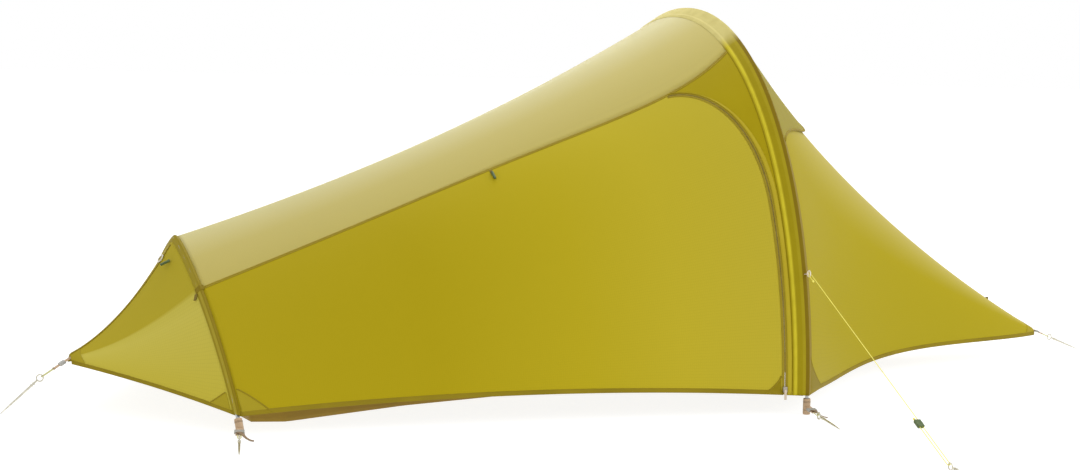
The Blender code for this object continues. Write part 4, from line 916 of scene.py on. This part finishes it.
def sleeve(name, hoop, over, profile, node, below, above, cell=0.004):
    distance = np.linspace(hoop.hem - 0.002, hoop.length - hoop.hem + 0.002, 260)
    places = [p[0] for p in profile]
    places = np.unique(np.concatenate([np.linspace(places[0], places[-1], 34), places]).round(5))
    grid = over_hoop(hoop, over, profile, places, distance).transpose(1, 0, 2)
    uv = np.stack(np.meshgrid(places - places[0], distance), -1)
    cover = banded_material(f"{name}_ripstop", profile, below, above, hoop, cell)
    return shell(name, grid, cover, "sleeve_cloth", stands_for=[node], uv=uv), grid


MAIN_SLEEVE = [(-0.0425, 0.0003), (-0.0412, 0.0007), (-0.0395, 0.0018), (-0.0345, 0.0034), (-0.0295, 0.0018),
               (-0.0275, 0.0012), (-0.0240, 0.0018), (-0.0150, 0.0034), (-0.0070, 0.0046), (0.0010, 0.0050),
               (0.0060, 0.0038), (0.0110, 0.0020), (0.0160, 0.0010), (0.0230, 0.0003)]
FOOT_SLEEVE = [(-0.0075, 0.0003), (-0.0062, 0.0010), (-0.0036, 0.0036), (0.0, 0.0048), (0.0036, 0.0036),
               (0.0062, 0.0010), (0.0075, 0.0003)]
# Main sleeve below the seams: painted shadow line at its edge, painted highlight on its lit side, painted
# shade beyond, then the binding's own brown; above, a painted highlight like the roof's
main_sleeve, main_sleeve_grid = sleeve(
    "main_sleeve", main_hoop, over_main, MAIN_SLEEVE, "main_pole_sleeve", below=[
        (-0.0405, (152, 133, 6)), (-0.0380, (178, 161, 22)), (-0.0315, (208, 193, 44)),
        (-0.0285, (180, 163, 22)), (-0.0160, (160, 143, 8)), (-0.0085, (168, 151, 24)),
        (0.0035, (130, 108, 12)), (0.0230, (152, 129, 34))],
    above=[(0.0040, (207, 195, 122)), (0.0230, (146, 130, 44))])
# Foot sleeve: a lighter painted highlight on one side of its crown between darker painted shade
foot_sleeve, foot_sleeve_grid = sleeve(
    "foot_sleeve", foot_hoop, over_foot, FOOT_SLEEVE, "foot_pole_sleeve", below=[
        (-0.0048, (152, 134, 26)), (-0.0012, (170, 153, 44)), (0.0075, (140, 121, 14))],
    above=[(-0.0010, (158, 140, 34)), (0.0075, (150, 132, 30))], cell=0.003)

# Seam tapes and ridge tapes
near_seam = tunnel(roof_shares, seam)
near_seam_out = surface_out(tunnel, roof_shares, seam)
near_seam_tape = taped("near_seam_tape", near_seam, near_seam_out, width=0.0086, middle=-0.002)
far_seam_tape = taped("far_seam_tape", mirrored(near_seam), mirrored(near_seam_out), middle=0.002)
vent_end = float(vent_lip(RIDGE)) - (VENT_OVERLAP - 0.012) / FRONT_REACH
ridge_pieces = {}
for end, surface, shares in (("front", front, np.linspace(vent_end, 0.995, 60)),
                             ("rear", rear, np.linspace(0.045, 0.99, 30))):
    ridge_pieces[end] = [taped(f"{end}_ridge_tape", surface(shares, RIDGE),
                               surface_out(surface, shares, RIDGE), width=0.0100, lift=0.0007)]


# Hem bindings
def hem(name, surface, shares, flip=as_made, **settings):
    line, out = surface(shares, NEAR_HEM), surface_out(surface, shares, NEAR_HEM)
    return bound(name, flip(line), flip(out), flip(surface_up(surface, shares, NEAR_HEM)), **settings)


near_hem = hem("near_wall_and_door_hem", tunnel, side_flat[0, :, 0] / HOOP_SPACING, bend=at_hinge)
surround_hem = hem("zip_surround_hem", tunnel, np.linspace(ZIP_X + 0.0035, FLY_END, 14) / HOOP_SPACING)
far_hem = hem("far_wall_hem", tunnel, roof_shares, mirrored)
for end, surface, shares in (("front", front, np.linspace(APSE_START, 1.0, 90)),
                             ("rear", rear, np.linspace(REAR_START, 1.0, 40))):
    for side, flip in SIDES:
        hem(f"{end}_apse_{side}_hem", surface, shares, flip)

# Zip: a tape and a row of coils on each side, and a flap beside it
ZIP_TAPE, ZIP_TAPE_START, ZIP_TAPE_LIFT = 0.0076, 0.0009, 0.0007
COIL_PITCH, COIL_REACH, COIL_RADIUS = 0.0011, 0.0017, 0.0006
zip_flat = zip_line(0.0)
zip_run = wall(zip_flat)
zip_out = surface_out(tunnel, zip_flat[:, 0] / HOOP_SPACING, zip_flat[:, 1] / WALL_LENGTH)
zip_across = unit(wall(zip_line(0.004)) - wall(zip_line(-0.004)))
zip_tapes = [strip(name, zip_run, zip_across, zip_out, tape_profile(low, high, ZIP_TAPE_LIFT, 0.0009, 0.7),
                   fabric["zip"], body, "zip_tape", stands_for)
             for name, low, high, body, stands_for in (
                 ("zip_tape_door_side", -ZIP_TAPE, -ZIP_TAPE_START, "door", ()),
                 ("zip_tape_tent_side", ZIP_TAPE_START, ZIP_TAPE, "tent", ["zip_track"]))]
coil_nylon = solid_material("coil_nylon", (132, 113, 30), roughness=0.55, grain=120.0)


def coil(name, side, body):
    """Teeth of one side of the zip as a fine zigzag coil."""
    walked = walk(zip_run)
    steps = np.arange(0.004, walked[-1] - 0.002, COIL_PITCH)
    swing = np.where(np.arange(len(steps)) % 2, 1.0, 0.25) * side * COIL_REACH
    line, across, out = (pick(steps, walked, values) for values in (zip_run, zip_across, zip_out))
    line = line + swing[:, None] * across + 0.0004 * out
    return tube(name, line, COIL_RADIUS, coil_nylon, body, sides=5)


zip_coils = [coil("zip_coil_door_side", -1.0, "door"), coil("zip_coil_tent_side", 1.0, "tent")]
flap_width = 0.0118 * (1 - smooth(0.55, 0.97, np.linspace(0.0, 1.0, len(zip_run))))[:, None] + 0.0006
flap_grid = np.stack([zip_run + zip_across * (ZIP_TAPE - 0.001 + flap_width * t)
                      + zip_out * (0.0009 + 0.0016 * math.sin(math.pi * t**0.7))
                      for t in np.linspace(0.0, 1.0, 9)], 1)
flap = shell("zip_flap", flap_grid, fabric["flap"], "wall_cloth", 0.0006)


# Corner patches, each a triangle of a second layer with a sewn edge
def patch(name, surface, start, reach, length, height, flip=as_made, cloth="patch", hollow=0.9, body="tent"):
    """start and reach are in metres along a surface of that length, and height is a girth."""
    rows, ways = [], []
    for t in np.linspace(0.0, 0.96, 18):
        shares = (start + reach * (1 - t) ** hollow * np.linspace(0.0, 1.0, 16)) / length
        rows.append(surface(shares, height * t))
        ways.append(surface_out(surface, shares, height * t))
    out = flip(np.array(ways))
    grid = flip(np.array(rows)) + 0.0007 * out
    made = shell(name, grid, fabric[cloth], "wall_cloth", 0.0004, body=body)
    edge = bound(name + "_edge", grid[:, -1], out[:, -1], unit(grid[:, -2] - grid[:, -1]), 0.004, body=body)
    return [made, edge]


def from_door(share, girth):
    return tunnel(ZIP_X / HOOP_SPACING - share, girth)


patches, tips = {}, {}
for side, flip in SIDES:
    patches[side] = patch(f"{side}_rear_corner_patch", tunnel, 0.010, 0.075, HOOP_SPACING, 0.19, flip)
    patches["rear", side] = patch(f"{side}_rear_apse_patch", rear, 0.010, 0.040, REAR_REACH, 0.16, flip)
    patches["front", side] = patch(f"{side}_front_apse_patch", front, 0.016, 0.125, FRONT_REACH, 0.100, flip,
                                   "dark", 1.7)
patches["door"] = patch("door_corner_patch", from_door, 0.010, 0.045, HOOP_SPACING, 0.050, cloth="dark",
                        hollow=1.5, body="door")
for end, surface, start in (("front", front, 0.955), ("rear", rear, 0.90)):
    for side, flip in SIDES:
        grid = [surface(np.linspace(start + 0.02 * math.sin(g / 2 * math.pi), 1.0, 12), g)
                for g in np.linspace(0.0, RIDGE, 24)]
        tips[end, side] = panel(f"{end}_tip_{side}_patch", flip(np.array(grid)), fabric["patch"],
                                lift=0.0009, thickness=0.0006)

# Inner tent: canopy with its entrance, tub and the rolled inner door
# Each station: its place, its near and far edge and its height
INNER_STATIONS = (
    (-1.385, -0.290, 0.290, 0.215), (-1.310, -0.316, 0.345, 0.385), (-0.950, -0.215, 0.440, 0.560),
    (-0.500, -0.150, 0.530, 0.755), (-0.060, -0.108, 0.590, 0.950), (0.340, -0.085, 0.240, 0.610))
TUB_HEIGHT, TUB_SPLAY, CANOPY_BASE, INNER_PEAK_Y, FOOT_RISE = 0.060, 0.010, 0.061, 0.020, 0.0006
ARCH_FOOT, FOOT_SHIFT, HEAD_SHIFT = 0.065, 0.006, 0.050
FINE = 6
arch_shares = np.linspace(0.0, 1.0, 14 * FINE + 1)


def station(numbers, height):
    """Arch of the canopy at a station."""
    x, near, far, _ = numbers
    power = np.interp(x, [-HOOP_SPACING, 0.0], (1.50, 1.00))
    swing, lift = np.cos(math.pi * arch_shares), np.sin(math.pi * arch_shares)
    half = np.where(swing > 0, INNER_PEAK_Y - near, far - INNER_PEAK_Y)
    y = INNER_PEAK_Y - np.copysign(half * np.abs(swing) ** power, swing)
    z = CANOPY_BASE + (height - CANOPY_BASE) * np.clip(lift, 0, 1) ** power
    return np.stack([np.full_like(y, x), y, z], -1)


arches = np.array([station(INNER_STATIONS[0], ARCH_FOOT), *(station(s, s[3]) for s in INNER_STATIONS),
                   station(INNER_STATIONS[-1], ARCH_FOOT)])
arches[0, :, 0] -= FOOT_SHIFT
arches[-1, :, 0] += HEAD_SHIFT
arches[1, :, 0] += 0.004
arches[:2, :, 2] += FOOT_RISE
canopy_rows, row_of = [], []
for i, (a, b) in enumerate(zip(arches[:-1], arches[1:])):
    count = max(3, int(round(abs(b[0, 0] - a[0, 0]) / 0.03)))
    canopy_rows += list(between(a, b, np.linspace(0.0, 1.0, count, endpoint=False)))
    row_of += [i] * count
canopy_grid = np.array(canopy_rows + [arches[-1]])
canopy = shell("inner_canopy_cloth", canopy_grid, fabric["inner"], "inner_cloth",
               stands_for=["inner_canopy"],
               left_out=lambda i, k: row_of[i] in (3, 4) and FINE <= k < 6 * FINE)
first, past = row_of.index(3), len(row_of) - row_of[::-1].index(4)
entrance = np.concatenate([canopy_grid[first:past, FINE], canopy_grid[past, FINE:6 * FINE],
                           canopy_grid[past:first:-1, 6 * FINE], canopy_grid[first, 6 * FINE:FINE:-1]])
entrance_edge = tube("inner_entrance_binding", entrance, 0.0022, fabric["hem"],
                     loop=True, sides=8)
for index in (1, 2, 3, 4):
    peak = arches[index + 1, 7 * FINE]
    high = tunnel(1 + peak[0] / HOOP_SPACING, np.linspace(1.5, 2.5, 401))
    roof_point = [peak[0], peak[1], float(np.interp(peak[1], high[:, 1], high[:, 2])) - 0.0008]
    line = between(peak, roof_point, np.linspace(0.0, 1.0, 7))
    profile = [(-0.003, -0.0006), (0.003, -0.0006), (0.003, 0.0006), (-0.003, 0.0006)]
    strip(f"canopy_hanger_{index}", line, AHEAD, [0.0, 1.0, 0.0], profile, tab_web,
                         slot="inner_cloth")

count = len(INNER_STATIONS)
outline = np.array([(x, near) for x, near, _, _ in INNER_STATIONS]
                   + [(x, far) for x, _, far, _ in INNER_STATIONS[::-1]])
outline[[0, -1], 0] -= FOOT_SHIFT
outline[[count - 1, count], 0] += HEAD_SHIFT
inset = outline + unit(outline.mean(0) - outline) * TUB_SPLAY
levels = np.linspace(TUB_HEIGHT, 0.0012, 7)


def tub_side(points):
    """Rows of one long wall of the tub, from its rim down. points: picks a side of the outline."""
    rows = []
    for z in levels:
        line = points(outline) + points(inset - outline) * (1 - z / TUB_HEIGHT)
        walked = walk(line)
        flat = pick(np.linspace(0.0, 1.0, 90) * walked[-1], walked, line)
        rows.append(np.column_stack([flat, np.full(90, z)]))
    return rows


near_walls, far_walls = tub_side(lambda line: line[:count]), tub_side(lambda line: line[count:][::-1])
floor_rows = between(near_walls[-1], far_walls[-1], np.linspace(0.0, 1.0, 26)[1:-1])
ripple = 0.0005 * (1 + np.sin(floor_rows[..., 0] * 37 + 3 * np.sin(floor_rows[..., 1] * 11)))
floor_rows[..., 2] += ripple * np.sin(np.linspace(0, math.pi, len(ripple)))[:, None]
tub_grid = np.array([*near_walls, *floor_rows, *far_walls[::-1]])
tub_mesh = grid_mesh("tub_floor", tub_grid, flat_map(tub_grid), fabric["tub"])
shape = bmesh.new()
shape.from_mesh(tub_mesh)
layer = shape.loops.layers.uv["flat"]
for ends in ([0, -1], [count - 1, count]):
    high, low = (between(*edge[ends], np.linspace(0, 1, 24)) for edge in (outline, inset))
    rows = [[shape.verts.new((*point, z)) for point in high * (z / TUB_HEIGHT) + low * (1 - z / TUB_HEIGHT)]
            for z in levels]
    for upper, lower in zip(rows[:-1], rows[1:]):
        for k in range(len(upper) - 1):
            face = shape.faces.new((upper[k], upper[k + 1], lower[k + 1], lower[k]))
            face.smooth = True
            for loop in face.loops:
                loop[layer].uv = (loop.vert.co.y, loop.vert.co.z)
bmesh.ops.remove_doubles(shape, verts=shape.verts, dist=0.0015)
bmesh.ops.recalc_face_normals(shape, faces=shape.faces)
shape.to_mesh(tub_mesh)
shape.free()
tub = thicken(piece("tub_floor", tub_mesh, "tent", ["groundsheet"]), 0.0006)

ROLL_TIES, ROLL_RADIUS = (0.28, 0.74), 0.0142
roll_from, roll_to = np.array([-0.900, -0.172, 0.0178]), np.array([-0.130, -0.078, 0.0178])
roll_side = np.cross(UP, unit(roll_to - roll_from))
roll_turn = np.linspace(0.0, 5.4 * math.pi, 150)
roll_share = roll_turn / roll_turn[-1]
roll_rows = []
for t in np.linspace(0.0, 1.0, 48):
    snug = 1 - 0.16 * max(math.exp(-((t - place) / 0.022) ** 2) for place in ROLL_TIES)
    radius = (0.0022 + 0.0128 * roll_share) * snug + 0.0005 * np.sin(3 * roll_turn + 9 * t) * roll_share
    centre = roll_from + (roll_to - roll_from) * (0.004 + 0.992 * t)
    roll_rows.append(centre + radius[:, None] * (np.cos(roll_turn)[:, None] * roll_side
                                                 + np.sin(roll_turn)[:, None] * UP))
roll_grid = np.array(roll_rows).transpose(1, 0, 2)
roll = shell("inner_door_roll_cloth", roll_grid, fabric["net"], "mesh_cloth", 0.0005, ["inner_door_roll"])
roll_ring = ROLL_RADIUS * ring_of(28, roll_side, UP)
roll_ties = [tube(f"roll_tie_{index}", roll_from + (roll_to - roll_from) * place + roll_ring, 0.0012,
                  dark_cord, loop=True) for index, place in enumerate(ROLL_TIES)]

# Anchors: cups or tips, straps, sewn loops of cord and loose tails
WEB_HALF, WEB_THICK = 0.009, 0.0007
LOOP_HALF, LOOP_START = 0.0040, 0.004
CUP_SIDES, CUP_RADIUS = 28, 0.0095
POCKETS = {"front": ((0.0, -0.65693, 0.00034), (0.0, -0.65633, 0.04225)),
           "rear": ((-1.46724, -0.45411, 0.00457), (-1.46923, -0.43669, 0.04207))}
# Each: way of the strap, way across it, its middle, the peg's eye and the length of the cord loop
ANCHORS = {
    "near_front_corner": ((-0.19771, -0.96879, -0.14949), (0.9798, -0.19996, 0),
                          (-0.00663, -0.68911, 0.01728), (-0.0156, -0.73304, 0.0105), 0.016),
    "near_rear_corner": ((-0.32623, -0.92925, -0.17341), (0.94354, -0.33124, 0),
                         (-1.47928, -0.47634, 0.01839), (-1.49412, -0.51862, 0.0105), 0.016),
    "front_point": ((0.93912, 0, -0.34358), (0, 1, 0), (1.35351, 0, 0.06844), (1.414, 0, 0.04631), 0.030),
    "rear_point": ((-0.84929, 0, -0.52793), (0, -1, 0), (-1.77238, 0, 0.12053), (-1.827, 0, 0.08658), 0.030)}
for corner in POCKETS:
    *ways, loop_length = ANCHORS[f"near_{corner}_corner"]
    line, side, middle, centre = map(mirrored, ways)
    ANCHORS[f"far_{corner}_corner"] = (line, -side, middle, centre, loop_length)


def cup(label, low, high):
    """Round sewn cup that the pole's tip stands in, with its rows of stitches."""
    axis = unit(high - low)
    side = unit(np.cross(axis, AHEAD))
    turn = np.cross(axis, side)
    length = float(np.linalg.norm(high - low))
    profile = [(0.0, 0.0002), (0.0, 0.0082), (0.0008, 0.0092), (0.0030, 0.0095), (length - 0.0025, 0.0094),
               (length - 0.0007, 0.0090), (length, 0.0078), (length - 0.0007, 0.0066),
               (length - 0.0030, 0.0060)]
    grid = np.array([low + axis * d + r * ring_of(CUP_SIDES, side, turn) for d, r in profile])
    around = np.linspace(0, 2 * math.pi, CUP_SIDES, endpoint=False) * CUP_RADIUS
    shell(f"{label}_cup", grid, webbing, "webbing", 0.0003,
          uv=np.stack(np.meshgrid(around, walk(profile)), -1), loop_columns=True)
    for place in (0.012, 0.032, 0.0345):
        ring = low + axis * place + 0.0097 * ring_of(30, side, turn)
        tube(f"{label}_cup_stitch_{int(place * 10000)}", ring, 0.0004, tack_thread, sides=6,
             loop=True)


def strap(name, points, side, half, thick, material, body="tent", stands_for=()):
    """Flat webbing along a line; side and the half thickness are one value or one for each point."""
    points = np.array(points, float)
    runs = unit(np.gradient(points, axis=0))
    across = unit(side - runs * (runs * side).sum(-1, keepdims=True))
    lift = unit(np.cross(runs, across)) * np.broadcast_to(thick, len(points))[:, None]
    profile = [(-half, 0.0), (-half + 0.0005, 0.9), (half - 0.0005, 0.9), (half, 0.0), (half - 0.0005, -0.9),
               (-half + 0.0005, -0.9)]
    return strip(name, points, across, lift, profile, material, body, "webbing", stands_for)


def loose_tail(label, middle, line, thick, loose):
    """Free end of a strap behind its adjuster, lying down to the ground."""
    def fall(along, sideways, z):
        return [*(middle + line * along + loose * sideways)[:2], z]
    run = [middle + line * 0.004 + thick * 0.0017, middle + line * 0.011 + thick * 0.0030,
           middle + line * 0.017 + loose * 0.006 + thick * 0.0024, fall(0.021, 0.015, 0.0085),
           fall(0.023, 0.025, 0.0030), fall(0.024, 0.034, 0.0016)]
    run = pick(np.linspace(0, 1, 26), np.linspace(0, 1, len(run)), run)
    for _ in range(3):
        run[1:-1] = (run[:-2] + 2 * run[1:-1] + run[2:]) / 4
    way = unit(np.cross(UP, unit(np.gradient(run, axis=0))))
    strap(f"{label}_strap_tail", run, way, 0.0068, 0.0006 / 0.9, dark_webbing, f"{label}_adjuster")


for label, (line, side, middle, centre, loop_length) in ANCHORS.items():
    line, side, middle, centre = (np.array(v, float) for v in (line, side, middle, centre))
    thick = np.cross(line, side)
    thick = thick * np.sign(thick[2])
    end = centre - line * (PEG_RING_RADIUS + loop_length)
    corner, far = "corner" in label, label.startswith("far")
    start = 2 * middle - end + line * 0.004 - line * (0.0095 if corner else 0.011)
    reach = np.linspace(0.0, 1.0, 30)
    doubled = WEB_THICK + 0.0009 * smooth(0.0045, 0.0030, (1 - reach) * float(np.linalg.norm(end - start)))
    strap(f"{label}_strap", between(start, end, reach), side, WEB_HALF, doubled, webbing,
          stands_for=[f"{label}_webbing"])
    for place in (0.0012, 0.0030):
        tack = along(end - line * place + thick * 0.0016, side, -0.0072, 0.0072, 9)
        tube(f"{label}_tack_{int(place * 10000)}", tack, 0.00035, tack_thread, sides=6)
    wire = centre - line * PEG_RING_RADIUS
    tail = loop_length + LOOP_START
    loop = [*along(wire + LOOP_HALF * side, -line, tail, LOOP_START, 6),
            *(wire + LOOP_HALF * (math.cos(a) * line + math.sin(a) * side) for a in turns[::-1]),
            *along(wire - LOOP_HALF * side, -line, LOOP_START, tail, 6)]
    tube(f"{label}_cord_loop", loop, 0.0012, loop_cord)
    if corner:
        cup(label, *(mirrored(v) if far else np.array(v) for v in POCKETS[label.split("_")[1]]))
        loose_tail(label, middle, line, thick, side * (-1.0 if far else 1.0))

# Guyline ring with its tab, door tie, zip pull and seam tabs
guy_tab_start = np.array([0.0, -0.62688, 0.36282])
tube("guyline_ring_loop", ring_place + GUY_RING_RADIUS * ring_of(40, guy_out, UP), PEG_WIRE_RADIUS,
     pale_plastic, stands_for=["guyline_ring"], loop=True, sides=12)
guy_tab_end = float(np.linalg.norm(ring_place - guy_tab_start)) - 0.0057
strap("guyline_ring_tab", along(guy_tab_start, unit(ring_place - guy_tab_start), -0.004, guy_tab_end, 12),
      AHEAD, 0.0045, 0.0011, pale_web)

tie_place, tie_up = np.array([-0.72019, -0.23447, 0.60290]), np.array([0.0, 0.79119, 0.61157])
tie_loop = strap("door_tie_webbing", along(tie_place, tie_up, -0.009, 0.009, 14),
                 [0.93606, -0.21517, 0.27836], 0.004, 0.0007, tab_web, stands_for=["door_tie_loop"])

slider_centre, slider_out = np.array([-0.06284, -0.6465, 0.06688]), np.array([-0.23224, -0.97205, 0.03438])
slider_down, slider_side = np.array([0.0, -0.03534, -0.99938]), [0.97266, -0.2321, 0.00821]
strap("zip_pull_tape", along(slider_centre + slider_out * 0.0038, slider_down, 0.0, 0.026, 16), slider_side,
      0.0035, 0.0008, pale_web, "zip_pull", ["zip_pull"])

patch_grid = over_hoop(foot_hoop, over_foot, FOOT_SLEEVE, np.linspace(-0.0085, 0.0105, 13),
                       np.linspace(foot_hoop.seam - 0.009, foot_hoop.seam + 0.007, 10), lift=0.0009)
seam_patches = [shell(f"{side}_seam_patch", flip(patch_grid), fabric["blob"], "sleeve_cloth", 0.0005)
                for side, flip in SIDES]
for side, flip in SIDES:
    out = flip(surface_out(rear, 0.03, 0.97))
    run = unit(flip(rear(0.06, 0.90) - rear(0.03, 0.97)))
    line = along(flip(rear(0.028, 0.975)) + out * 0.0012, out * 0.0016 + run * 0.017, 0.0, 1.0, 8)
    seam_patches.append(strap(f"{side}_seam_tab", line, np.cross(out, run), 0.0042, 0.0009, tab_web))
ridge_pieces["front"].append(strap("front_ridge_tab", along(front(0.862, RIDGE), UP, -0.0005, 0.008, 8),
                                   [0.94, 0.0, -0.34], 0.0055, 0.0009, tab_web))

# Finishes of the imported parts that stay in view: parts, name, colour, roughness, metallic and grain
FINISHES = (
    (("main_pole", "foot_pole"), "pole_anodised", (168, 170, 172), 0.32, 0.9, 90.0),
    (("shock_cord",), "shock_cord_rubber", (40, 38, 36), 0.7, 0.0, 160.0),
    (("_peg",), "peg_drawn_alloy", (196, 192, 176), 0.30, 0.85, 120.0),
    (("_adjuster",), "buckle_moulded", (150, 148, 140), 0.50, 0.0, 110.0),
    (("zip_slider",), "slider_cast", (158, 150, 136), 0.38, 0.7, 150.0),
    (("door_toggle", "foot_toggle"), "toggle_moulded", (66, 84, 34), 0.45, 0.0, 120.0),
    (("guyline_tensioner",), "tensioner_moulded", (64, 84, 26), 0.45, 0.0, 120.0),
    (("foot_ring",), "ring_moulded", (206, 200, 186), 0.40, 0.0, 120.0),
    (("vent_prop",), "prop_moulded", (120, 112, 70), 0.40, 0.0, 90.0))
for keys, name, rgb, roughness, metallic, grain in FINISHES:
    finish = solid_material(name, rgb, roughness, metallic, grain)
    for node in bpy.context.scene.objects:
        if node.name in cad_names and "sleeve" not in node.name and any(key in node.name for key in keys):
            for holder in node.material_slots:
                holder.link = "OBJECT"
                holder.material = finish
